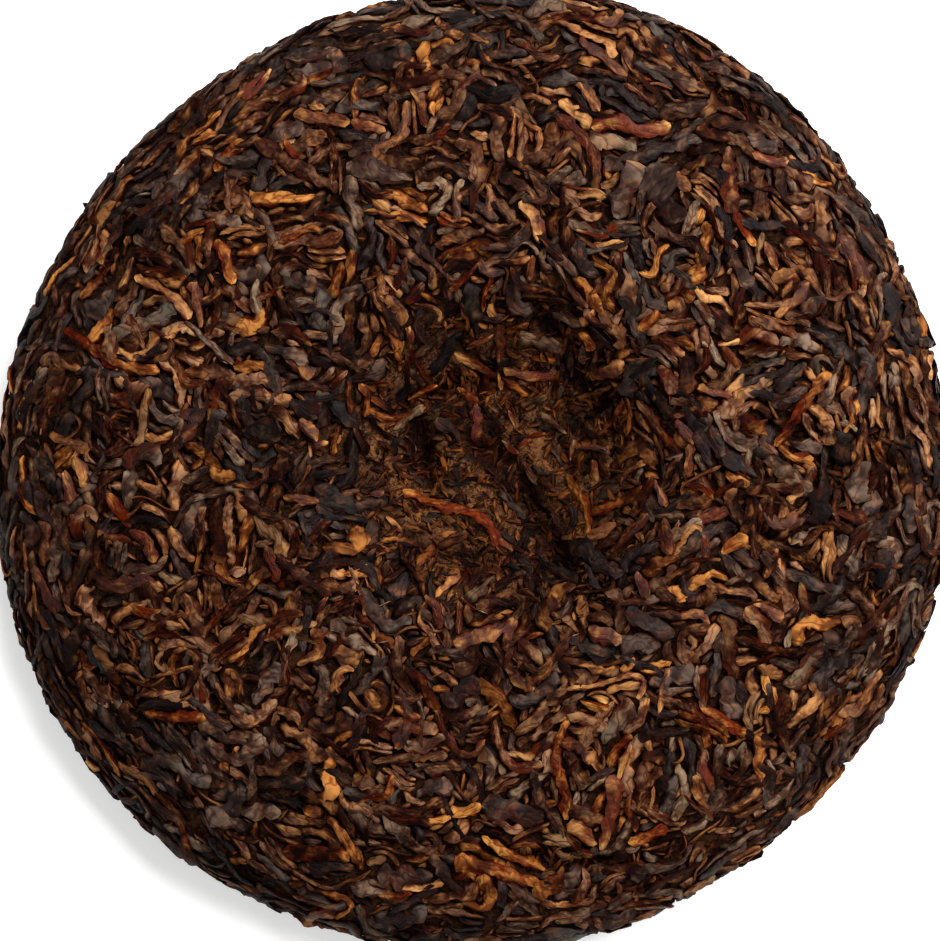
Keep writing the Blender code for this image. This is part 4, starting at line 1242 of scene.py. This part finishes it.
class LeafSurfaceGroup:
    """Shader nodes for the skin of a dry leaf: mottled and streaked lengthwise, with painted shade in its
    creases, on its lower sides, where it dips under others and in the hollows, and partly in the dimple.

    Each noise has a scale round the section, the length of a swell, a shift of its pattern and a detail.
    """

    NAME = "leaf_surface"
    NUMBERS = {"Tip Share": 0.2, "Mottle": 0.8, "Crease Strength": 0.8, "Burn": 0.8, "Roughness": 0.6}
    PATCHES = (0.5, 2.4 * MM, 0.0, 2.0)
    STAINS = (0.6, 3.2 * MM, 17.0, 2.0)
    BURNS = (0.5, 2.6 * MM, 43.0, 2.0)
    FOLDS = (0.85, 3.2 * MM, 31.0, 1.0)
    FIBRES = (2.0, 0.75 * MM, 5.0, 3.0)
    PALE_TINTS = (0.9, 1.7)
    WARM_RANGE = (0.5, 0.62)
    CHAR_RANGE = (0.40, 0.54)
    CREASE_WIDTH = 0.06
    FLANK_RANGE = (0.75, 0.1)
    DEPTH_RANGE = (0.1 * MM, -0.8 * MM)
    CHAR_STAIN = (0.17, 0.052, 0.014)
    # Painted shade: the colours that darken creases, lower sides, dipped ends and hollows; the crush colour
    # is partly painted shade and partly crushed leaf.
    CREASE_STAIN = (0.24, 0.068, 0.017)
    FLANK_STAIN = (0.18, 0.045, 0.010)
    DEPTH_STAIN = (0.15, 0.030, 0.006)
    CRUSH_STAIN = (0.76, 0.62, 0.42)
    GLOOM_STAIN = (0.14, 0.037, 0.012)
    PALE_LIFT = (1.28, 1.42, 1.28)

    def __init__(self) -> None:
        """Builds the group."""
        self.tree = bpy.data.node_groups.new(self.NAME, "ShaderNodeTree")
        make = NodeTree(self.tree)
        self.make = make
        for name in ("Dark", "Light", "Tip"):
            make.socket(name, "Color")
        for name, value in self.NUMBERS.items():
            make.socket(name, "Float", True, value)
        for name, kind in (("Color", "Color"), ("Height", "Float"), ("Roughness", "Float")):
            make.socket(name, kind, False)
        given = make.add("NodeGroupInput").outputs
        patches, stains, burns, folds, fibres = (
            self.noise(*row) for row in (self.PATCHES, self.STAINS, self.BURNS, self.FOLDS, self.FIBRES))
        tint = self.read("tint")
        mottle = make.math("MULTIPLY", make.math("SUBTRACT", patches, 0.5), given["Mottle"])
        share = make.math("ADD", tint, make.math("MULTIPLY", mottle, 3.0))
        share = make.math("MINIMUM", make.swing(fibres, 0.55, share), 1.0)
        colour = make.mix(make.math("MAXIMUM", share, 0.0), given["Dark"], given["Light"])
        warm = make.math("MULTIPLY", make.ramp(stains, *self.WARM_RANGE), given["Tip Share"])
        colour = make.mix(warm, colour, given["Tip"])
        burn = make.math("MULTIPLY", given["Burn"], make.ramp(tint, *self.PALE_TINTS, 1.0, 0.3))
        char = make.math("MULTIPLY", make.ramp(burns, *self.CHAR_RANGE, 1.0, 0.0), burn)
        colour = make.stain(char, colour, self.CHAR_STAIN)
        # Painted shade: dark lines in the creases between folds.
        ridge = make.math("ABSOLUTE", make.math("SUBTRACT", folds, 0.5))
        crease = make.ramp(ridge, 0.0, self.CREASE_WIDTH, 1.0, 0.0)
        crease = make.math("MULTIPLY", crease, given["Crease Strength"])
        colour = make.stain(crease, colour, self.CREASE_STAIN)
        # Painted shade on the lower sides of each leaf.
        flank = make.swing(fibres, 0.5, self.read("flank"))
        colour = make.stain(make.ramp(flank, *self.FLANK_RANGE), colour, self.FLANK_STAIN)
        # Painted shade where a leaf dips below the surface, under its neighbours.
        deep = make.ramp(self.read("rise"), *self.DEPTH_RANGE, 0.0, 0.9)
        colour = make.stain(deep, colour, self.DEPTH_STAIN)
        # Darker in the dimple: crushed leaves, and partly painted shade of the dimple.
        colour = make.stain(self.read("crush"), colour, self.CRUSH_STAIN)
        # Painted shade of the hollows, folds, cracks and dimple walls, with random dark patches.
        colour = make.stain(self.read("gloom"), colour, self.GLOOM_STAIN)
        colour = make.stain(make.ramp(tint, *self.PALE_TINTS), colour, self.PALE_LIFT)
        relief = make.math("MULTIPLY", fibres, 0.7)
        height = make.math("MULTIPLY_ADD", make.math("MINIMUM", ridge, 0.1), 4.0, relief)
        rough = make.swing(fibres, 0.4, given["Roughness"])
        make.add("NodeGroupOutput", {"Color": colour, "Height": height, "Roughness": rough})

    def read(self, name: str, output: str = "Fac") -> Socket:
        """The values that the sweep keeps on each leaf under a name."""
        return self.make.add("ShaderNodeAttribute", attribute_name=name).outputs[output]

    def noise(self, across: float, length: float, shift: float, detail: float) -> Socket:
        """Noise drawn out along the leaf.

        Args:
            across: Scale round the section.
            length: Of one swell along the leaf.
            shift: Moves the pattern.
            detail: Of the noise.

        Returns:
            The noise, from 0 to 1.
        """
        make = self.make
        ring = make.vector("SCALE", self.read("ring", "Vector"), across)
        way = make.math("MULTIPLY_ADD", self.read("along"), 1.0 / length, shift)
        spot = make.vector("ADD", ring, make.add("ShaderNodeCombineXYZ", {"Z": way}).outputs[0])
        return make.skin_noise(spot, self.read("seed"), detail)


@dataclass(frozen=True)
class LeafFinish:
    """The look of one kind of leaf. The fields down to the roughness bear the names of the skin's inputs."""

    dark: Colour
    light: Colour
    tip: Colour
    tip_share: float = 0.6
    mottle: float = 0.9
    crease_strength: float = 0.7
    burn: float = 0.8
    roughness: float = 0.56
    specular: float = 0.03
    bump: float = 0.9
    relief: float = 0.25 * MM

    def material(self, name: str, group: LeafSurfaceGroup) -> bpy.types.Material:
        """Makes the material from the shared leaf skin."""
        material, make, shader = new_material(name)
        skin = make.add("ShaderNodeGroup", node_tree=group.tree)
        for entry in skin.inputs:
            value = getattr(self, entry.name.lower().replace(" ", "_"))
            entry.default_value = (*value, 1.0) if isinstance(value, tuple) else value
        keys = {"Height": skin.outputs["Height"], "Strength": self.bump, "Distance": self.relief}
        bump = make.add("ShaderNodeBump", keys).outputs[0]
        make.feed(shader, {"Base Color": skin.outputs["Color"], "Roughness": skin.outputs["Roughness"],
                           "Normal": bump, "Specular IOR Level": self.specular})
        return material


FINISHES = {
    Kind.BLACK: LeafFinish((0.010, 0.0030, 0.0012), (0.051, 0.0365, 0.0302), (0.140, 0.054, 0.020), 0.4,
                           specular=0.07),
    Kind.UMBER: LeafFinish((0.023, 0.0054, 0.0012), (0.124, 0.0602, 0.0312), (0.245, 0.100, 0.029)),
    Kind.TAUPE: LeafFinish((0.021, 0.0068, 0.0026), (0.140, 0.0912, 0.0595), (0.245, 0.114, 0.044), 0.4,
                           specular=0.06),
    Kind.BROWN: LeafFinish((0.042, 0.0108, 0.0030), (0.208, 0.1035, 0.0550), (0.345, 0.148, 0.040)),
    Kind.RUSSET: LeafFinish((0.073, 0.0174, 0.0022), (0.320, 0.1200, 0.0285), (0.42, 0.172, 0.040)),
    Kind.GOLD: LeafFinish((0.130, 0.038, 0.0065), (0.362, 0.160, 0.044), (0.42, 0.208, 0.072),
                          0.5, 0.8, 0.5, 0.6, specular=0.12),
    Kind.BROAD: LeafFinish((0.015, 0.0078, 0.0054), (0.086, 0.054, 0.040), (0.20, 0.082, 0.030),
                           0.5, 0.9, 0.7, specular=0.08),
    Kind.STALK: LeafFinish((0.042, 0.0130, 0.0042), (0.210, 0.086, 0.031), (0.30, 0.120, 0.032),
                           0.4, 0.5, 0.6),
    Kind.BIT: LeafFinish((0.014, 0.0038, 0.0013), (0.162, 0.063, 0.0220), (0.34, 0.134, 0.036),
                         0.5, 0.6, 0.5, 0.6),
    Kind.FIBRE: LeafFinish((0.035, 0.0110, 0.0040), (0.230, 0.115, 0.062), (0.40, 0.23, 0.13),
                           0.4, 0.5, 0.3, 0.3),
}


@dataclass
class LeafLayer:
    """All leaves of one kind, as one piece.

    The fields from sides to press_share are given to the sweep's inputs of the same names.
    """

    VECTOR = "facing"

    kind: Kind
    sides: int = 9
    fold_depth: float = 0.42
    fold_count: float = 1.0
    fold_length: float = 4.2 * MM
    knob_depth: float = 0.42
    knob_length: float = 2.2 * MM
    crinkle_height: float = 0.36 * MM
    crinkle_size: float = 1.1 * MM
    press_level: float = 0.2 * MM
    press_share: float = 0.38
    # The arch share scales the painted shade of the dimple's walls; the patches are random dark patches
    # added to it.
    arch_share: float = 0.58
    patch_size: float = 8.5 * MM
    patch_share: float = 0.6
    patch_range: Pair = (0.0, 0.45)

    def shading(self, laying: Laying, surface: Array) -> tuple[Array, Array, Array]:
        """How crushed the leaves are at some places of one face, their painted shade, and their painted
        light.
        """
        form, upper = laying.chart.form, laying.chart.face is Face.UPPER
        x, y = surface[:, 0], surface[:, 1]
        crush = form.crush(x, y) * upper
        hollows, arch = form.gloom(x, y)
        lighter = form.brightness(x, y) * upper
        # Random dark patches, fewer where painted light is raised, and darker lumps in the dimple join the
        # painted shade.
        patches = smoothstep(*self.patch_range, noise_at(surface, self.patch_size, 11.0))
        patches = patches * (1.0 - 1.5 * lighter)
        patches = np.maximum(self.patch_share * patches, form.knots(surface))
        return crush, np.maximum(np.maximum(hollows, self.arch_share * arch), patches) * upper, lighter

    def lines(self, beds: list[Laying]) -> bpy.types.Object:
        """An object that holds the middle lines of the leaves, with what the sweep needs at each point."""
        places, edges, rows, count = [], [], [], 0
        for laying in beds:
            leaves = [leaf for leaf in laying.bed.leaves if leaf.kind is self.kind]
            if not leaves:
                continue
            surface, normals = laying.chart.framed(np.vstack([leaf.flat for leaf in leaves]))
            crush, gloom, lighter = self.shading(laying, surface)
            start = 0
            for leaf in leaves:
                part = slice(start, start + len(leaf.flat))
                start = part.stop
                place, normal = surface[part], normals[part]
                side = unit(np.cross(normal, np.gradient(place, axis=0)), 1e-9)
                place = place + normal * leaf.lift[:, None]
                along = ways_along(place)
                places.append(place)
                edges.append(np.column_stack((np.arange(len(place) - 1), np.arange(1, len(place)))) + count)
                count += len(place)
                rows.append({
                    self.VECTOR: normal * math.cos(leaf.roll) + side * math.sin(leaf.roll),
                    "turn": leaf.seed + leaf.twist * along,
                    "half_width": leaf.half_width,
                    "thickness": np.full(len(place), leaf.thickness),
                    "lift": leaf.lift,
                    # The tint takes in half the painted light.
                    "tint": np.full(len(place), leaf.tint + 0.5 * lighter[part].mean()),
                    "along": along,
                    "seed": np.full(len(place), leaf.seed),
                    # The crush darkening is partly painted shade; the painted shade darkens hollows, folds,
                    # cracks and walls.
                    "crush": crush[part] * leaf.gloom_share,
                    "gloom": gloom[part] * leaf.gloom_share})
        mesh = bpy.data.meshes.new("middle_lines")
        mesh.from_pydata(np.vstack(places).tolist(), np.vstack(edges).tolist(), [])
        for name in rows[0]:
            kind, entry = ("FLOAT_VECTOR", "vector") if name == self.VECTOR else ("FLOAT", "value")
            values = np.concatenate([row[name] for row in rows]).ravel()
            mesh.attributes.new(name, kind, "POINT").data.foreach_set(entry, values.astype(np.float32))
        return placed("middle_lines", mesh)

    def build(self, beds: list[Laying], sweep: SweepTree, group: LeafSurfaceGroup) -> bpy.types.Object:
        """Makes the piece.

        Args:
            beds: The laid faces.
            sweep: The shared sweep.
            group: The shared leaf skin.

        Returns:
            The piece.
        """
        values = {name.replace("_", " ").title(): value for name, value in vars(self).items()}
        values["Finish"] = FINISHES[self.kind].material(f"{self.kind.value}_finish", group)
        return sweep.made(self.lines(beds), self.kind.value, values)


@dataclass
class PressedCore:
    """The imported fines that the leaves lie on, a closed body of its own that stands for the model's node.

    Its depth under the leaves is for the faces, the side and the floor of the dimple.
    """

    form: CakeForm
    name: str = "pressed_core"
    subdivisions: int = 7
    depth: float = 1.55 * MM
    side_depth: float = 0.8 * MM
    dimple_depth: float = 0.5 * MM
    depth_ways: tuple[float, ...] = mm(70, 95, 120, 140)
    dense_ways: tuple[float, ...] = mm(0, 28, 42, 110, 140)
    densities: tuple[float, ...] = (6.0, 6.0, 1.0, 0.8, 0.3)
    # Shares of painted shade under the leaves, in the hollows and on the dimple's walls.
    leaf_shade: float = 0.8
    hollow_shade: float = 1.6
    arch_shade: float = 0.85
    floor_gap: float = 0.35 * MM
    grit_height: float = 0.6 * MM
    grit_size: float = 2.2 * MM
    fine_height: float = 0.35 * MM
    fine_size: float = 0.95 * MM
    bend_size: float = 5 * MM
    bend: float = 2 * MM
    fibre_size: float = 0.8 * MM
    clump_size: float = 3.6 * MM
    amber_size: float = 2.1 * MM
    dark: Colour = (0.009, 0.0026, 0.0008)
    light: Colour = (0.104, 0.0420, 0.0155)
    amber: Colour = (0.20, 0.068, 0.016)
    light_range: Pair = (0.62, 0.90)
    amber_range: Pair = (0.56, 0.66)
    shade_stain: Colour = (0.10, 0.045, 0.022)
    roughness: float = 0.8
    specular: float = 0.05
    bump: float = 0.9
    relief: float = 0.35 * MM

    def build(self) -> bpy.types.Object:
        """Makes the piece, with its points closest together in the dimple."""
        form = self.form
        shape = bmesh.new()
        bmesh.ops.create_icosphere(shape, subdivisions=self.subdivisions, radius=1.0)
        ball = np.array([vertex.co for vertex in shape.verts])
        dense = np.interp(form.ways, self.dense_ways, self.densities)
        areas = np.cumsum(form.line[:, 0] * dense)
        share = 0.5 * (1.0 - np.clip(ball[:, 2], -1.0, 1.0))
        way = np.interp(share, areas / areas[-1], form.ways)
        bearing = np.arctan2(ball[:, 1], ball[:, 0])
        points, normals = np.zeros_like(ball), np.zeros_like(ball)
        under = way > 0.5 * form.length
        for face, rows, out in ((Face.UPPER, ~under, way), (Face.UNDER, under, form.length - way)):
            points[rows], normals[rows] = Chart(form, face, form.length).framed(polar(out, bearing)[rows])
        crushed = form.crush(points[:, 0], points[:, 1]) * (~under)
        depths = (self.depth, self.side_depth, self.side_depth, self.depth)
        depth = np.interp(way, self.depth_ways, depths)
        depth += (self.dimple_depth - depth) * crushed
        grit = noise_at(points, self.grit_size) * self.grit_height
        grit += noise_at(points, self.fine_size, 7.0) * self.fine_height
        points += normals * (grit - depth)[:, None]
        points[:, 2] = np.maximum(points[:, 2], self.floor_gap)
        for vertex, point in zip(shape.verts, points.tolist()):
            vertex.co = point
        mesh = meshed(self.name, shape)
        mesh.shade_smooth()
        # Painted shade of the core: in the hollows, on the dimple's walls, under the leaves outside the
        # dimple and on the underside, with darker lumps in the dimple.
        hollows, arch = form.gloom(points[:, 0], points[:, 1])
        shade = np.maximum(np.minimum(self.hollow_shade * hollows, 1.0), self.arch_shade * arch)
        shade = np.maximum(shade, self.leaf_shade * (1.0 - crushed))
        shade = np.maximum(shade, form.knots(points)) * (~under) + self.leaf_shade * under
        mesh.attributes.new("shade", "FLOAT", "POINT").data.foreach_set("value", shade.astype(np.float32))
        mesh.materials.append(self.dress())
        return placed(self.name, mesh)

    def dress(self) -> bpy.types.Material:
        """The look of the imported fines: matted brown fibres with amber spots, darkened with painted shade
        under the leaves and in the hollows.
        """
        material, make, shader = new_material("pressed_fines")
        place = make.add("ShaderNodeTexCoord").outputs["Object"]

        def grain(spot: Socket, size: float, detail: float, output: int = 0, **more: float) -> Socket:
            """Noise with swells of one size."""
            keys = {"Vector": spot, "Scale": 1.0 / size, "Detail": detail, **more}
            return make.add("ShaderNodeTexNoise", keys).outputs[output]

        bent = make.vector("SCALE", grain(place, self.bend_size, 1.0, 1), self.bend)
        bent = make.vector("ADD", place, bent)
        fibre = grain(bent, self.fibre_size, 4.0, Roughness=0.6, Distortion=1.2)
        clumps = grain(place, self.clump_size, 3.0)
        share = make.ramp(make.math("MULTIPLY_ADD", clumps, 0.5, fibre), *self.light_range)
        colour = make.mix(share, (*self.dark, 1.0), (*self.light, 1.0))
        amber = make.ramp(grain(bent, self.amber_size, 2.0), *self.amber_range, 0.0, 0.7)
        colour = make.mix(make.math("MULTIPLY", amber, share), colour, (*self.amber, 1.0))
        # Painted shade from the core's shade values.
        shade = make.add("ShaderNodeAttribute", attribute_name="shade").outputs["Fac"]
        colour = make.stain(shade, colour, self.shade_stain)
        height = make.math("MULTIPLY_ADD", fibre, 1.2, clumps)
        bump = make.add("ShaderNodeBump", {"Height": height, "Strength": self.bump, "Distance": self.relief})
        make.feed(shader, {"Base Color": colour, "Normal": bump.outputs[0], "Roughness": self.roughness,
                           "Specular IOR Level": self.specular})
        return material


@dataclass(frozen=True)
class SoftBox:
    """A square soft lamp, with its bearing and elevation in degrees and its power in watts."""

    name: str
    bearing: float
    elevation: float
    distance: float
    size: float
    power: float
    colour: Colour

    def build(self) -> None:
        """Hangs the lamp so that it faces the cake."""
        data = bpy.data.lights.new(self.name, "AREA")
        data.shape = "SQUARE"
        data.size = self.size
        data.energy = self.power
        data.color = self.colour
        turn, rise = math.radians(self.bearing), math.radians(self.elevation)
        away = Vector((math.cos(turn) * math.cos(rise), math.sin(turn) * math.cos(rise), math.sin(rise)))
        lamp = placed(self.name, data)
        lamp.location = away * self.distance
        lamp.rotation_euler = away.to_track_quat("Z", "Y").to_euler()


@dataclass
class Studio:
    """The pale floor, soft light and the camera, straight above the cake."""

    form: CakeForm
    frame_width: float = 192.6 * MM
    centre: Pair = (-0.92 * MM, 0.2 * MM)
    lens: float = 135.0
    sensor: float = 36.0
    nearest: float = 0.01
    floor_radius: float = 3.0
    floor_gap: float = 0.1 * MM
    floor_colour: Colour = (0.86, 0.86, 0.855)
    floor_roughness: float = 0.8
    floor_glow: float = 0.3
    key: SoftBox = SoftBox("key", 46.0, 44.0, 1.1, 1.0, 34.0, (1.0, 0.985, 0.96))
    fill: SoftBox = SoftBox("fill", 215.0, 62.0, 1.3, 0.9, 3.0, (1.0, 1.0, 1.0))
    room_strength: float = 0.42

    def build(self) -> None:
        """Makes everything that isn't the cake."""
        self.floor()
        self.key.build()
        self.fill.build()
        self.room()
        self.camera()

    def floor(self) -> None:
        """A pale plain floor, just below the cake."""
        shape = bmesh.new()
        bmesh.ops.create_circle(shape, cap_ends=True, segments=64, radius=self.floor_radius)
        bmesh.ops.translate(shape, verts=shape.verts, vec=(0.0, 0.0, -self.floor_gap))
        floor = placed("pale_floor", meshed("pale_floor", shape))
        material, make, shader = new_material("pale_floor")
        make.feed(shader, {"Base Color": (*self.floor_colour, 1.0), "Roughness": self.floor_roughness,
                           "Emission Color": (1.0, 1.0, 1.0, 1.0), "Emission Strength": self.floor_glow})
        floor.data.materials.append(material)

    def room(self) -> None:
        """An even white room."""
        world = bpy.data.worlds.new("white_room")
        world.use_nodes = True
        inputs = {"Color": (1.0, 1.0, 1.0, 1.0), "Strength": self.room_strength}
        NodeTree(world.node_tree).feed(world.node_tree.nodes["Background"], inputs)
        bpy.context.scene.world = world
        bpy.context.scene.view_settings.view_transform = "Standard"

    def camera(self) -> None:
        """A camera that looks straight down and takes in what the photograph does."""
        data = bpy.data.cameras.new("camera")
        data.lens = self.lens
        data.sensor_width = self.sensor
        data.clip_start = self.nearest
        camera = placed("camera", data)
        camera.location = (*self.centre, self.form.edge_height + self.frame_width * self.lens / self.sensor)
        bpy.context.scene.camera = camera


@dataclass
class TeaCake:
    """The whole cake: the core and its layers of leaves."""

    form: CakeForm = field(default_factory=CakeForm)
    upper_reach: float = 121 * MM
    ring_step: float = 0.95 * MM
    under_ring_step: float = 1.5 * MM
    holes: int = 230
    hole_sizes: Pair = mm(0.25, 0.8)
    crumbs: int = 1300
    fibres: int = 240
    crumb_spacing: float = 0.5 * MM

    def upper(self) -> Laying:
        """Lays the leaves of the dimpled face and the side."""
        laying = Laying(Chart(self.form, Face.UPPER, self.upper_reach), SEED, self.ring_step)
        laying.lay_notables()
        laying.bed.leave_holes(self.holes, self.hole_sizes)
        high, low, over = mm(-0.6, 0.25), mm(-0.9, -0.1), mm(0.1, 0.35)
        side, inner = (0.74, 1.0), (0.0, 0.78)
        for leaves in (
            LeafRound(mm(10, 17), mm(0.6, 0.95), 8 * MM, 420, 0.4, 1.0, high, None, (0.45, 0.65), side),
            LeafRound(mm(5, 9), mm(1.3, 2), 4 * MM, 60, 0.6, 0.1, high, Kind.BROAD, (0.16, 0.26), inner),
            LeafRound(mm(7, 13), mm(0.3, 0.45), 6 * MM, 230, 0.7, 0.5, high, Kind.STALK, (0.8, 0.95)),
            LeafRound(mm(7, 15), mm(0.9, 1.6), 6 * MM, 2400, 0.6, 0.1, high, None, (0.32, 0.55)),
            LeafRound(mm(4.5, 10), mm(0.7, 1.3), 3.6 * MM, 8500, 0.7, 0.4, high, None, (0.35, 0.6)),
            LeafRound(mm(2.5, 6), mm(0.55, 1.05), 2 * MM, 14000, 0.9, 0.35, low, None, (0.5, 0.8)),
            LeafRound(mm(1.5, 3), mm(0.3, 0.6), 0.9 * MM, 9000, 1.2, 0.4, low, Kind.BIT),
        ):
            laying.fill(leaves)
        laying.bed.clear()
        last = LeafRound(mm(6, 13), mm(0.6, 1.15), 5 * MM, 420, 0.7, 0.3, over, None, (0.4, 0.6), inner)
        laying.fill(last)
        laying.bed.clear()
        crumb = (mm(0.5, 1.6), mm(0.22, 0.55), 0.0, 0, 1.5, 1.0)
        fibre = (mm(2, 5), mm(0.08, 0.15), 0.0, 0, 1.2, 1.0)
        grooves = self.form.edge_cracks + self.form.dark_hollows + self.form.knot_folds
        laying.scatter(LeafRound(*crumb, mm(-0.3, 0.12), Kind.BIT), laying.crushed_places(self.crumbs))
        filled = laying.groove_places(grooves, self.crumb_spacing)
        laying.scatter(LeafRound(*crumb, mm(-0.9, -0.2), Kind.BIT), filled)
        laying.scatter(LeafRound(*fibre, mm(0, 0.3), Kind.FIBRE), laying.crushed_places(self.fibres))
        return laying

    def under(self) -> Laying:
        """Lays the leaves of the resting face."""
        reach = self.form.length - self.upper_reach
        laying = Laying(Chart(self.form, Face.UNDER, reach), SEED + 1, self.under_ring_step)
        low = mm(-0.75, -0.45)
        for leaves in (
            LeafRound(mm(6, 11), mm(1.6, 2.4), 5 * MM, 120, 0.6, 1.0, low, Kind.BROAD, (0.2, 0.32)),
            LeafRound(mm(9, 16), mm(0.9, 1.4), 8 * MM, 2200, 0.5, 1.0, low, None, (0.5, 0.7)),
            LeafRound(mm(5, 11), mm(0.8, 1.2), 4 * MM, 6000, 0.6, 1.0, low, None, (0.5, 0.7)),
            LeafRound(mm(2, 5), mm(0.5, 0.9), 1.5 * MM, 7000, 0.9, 1.0, low, Kind.BIT),
        ):
            laying.fill(leaves)
        return laying

    def build(self) -> None:
        """Makes every piece and ties it to the model."""
        core = PressedCore(self.form).build()
        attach(core, BODY)
        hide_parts(NODE)
        beds = [self.upper(), self.under()]
        sweep = SweepTree()
        group = LeafSurfaceGroup()
        for layer in (
            *(LeafLayer(kind) for kind in Laying.KINDS),
            LeafLayer(Kind.BROAD, 12, 0.30, 1.1, 3 * MM, 0.5, 2 * MM, 0.55 * MM, 1.5 * MM),
            LeafLayer(Kind.STALK, 7, 0.15, 0.8, 4 * MM, 0.2, 2.4 * MM, 0.1 * MM),
            LeafLayer(Kind.BIT, 7, 0.35, 0.9, 2 * MM, 0.4, 1.2 * MM, 0.25 * MM, 0.9 * MM),
            LeafLayer(Kind.FIBRE, 5, 0.0, 0.5, 4 * MM, 0.0, 2.4 * MM, 0.05 * MM),
        ):
            piece = layer.build(beds, sweep, group)
            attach(piece, BODY)
            triangles = sum(len(face.vertices) - 2 for face in piece.data.polygons)
            LOG.info("%s: %d triangles", piece.name, triangles)


def main() -> None:
    """Builds the cake and its studio."""
    logging.basicConfig(level=logging.INFO, format="%(message)s")
    TeaCake().build()
    Studio(CakeForm()).build()


if __name__ == "__main__":
    main()
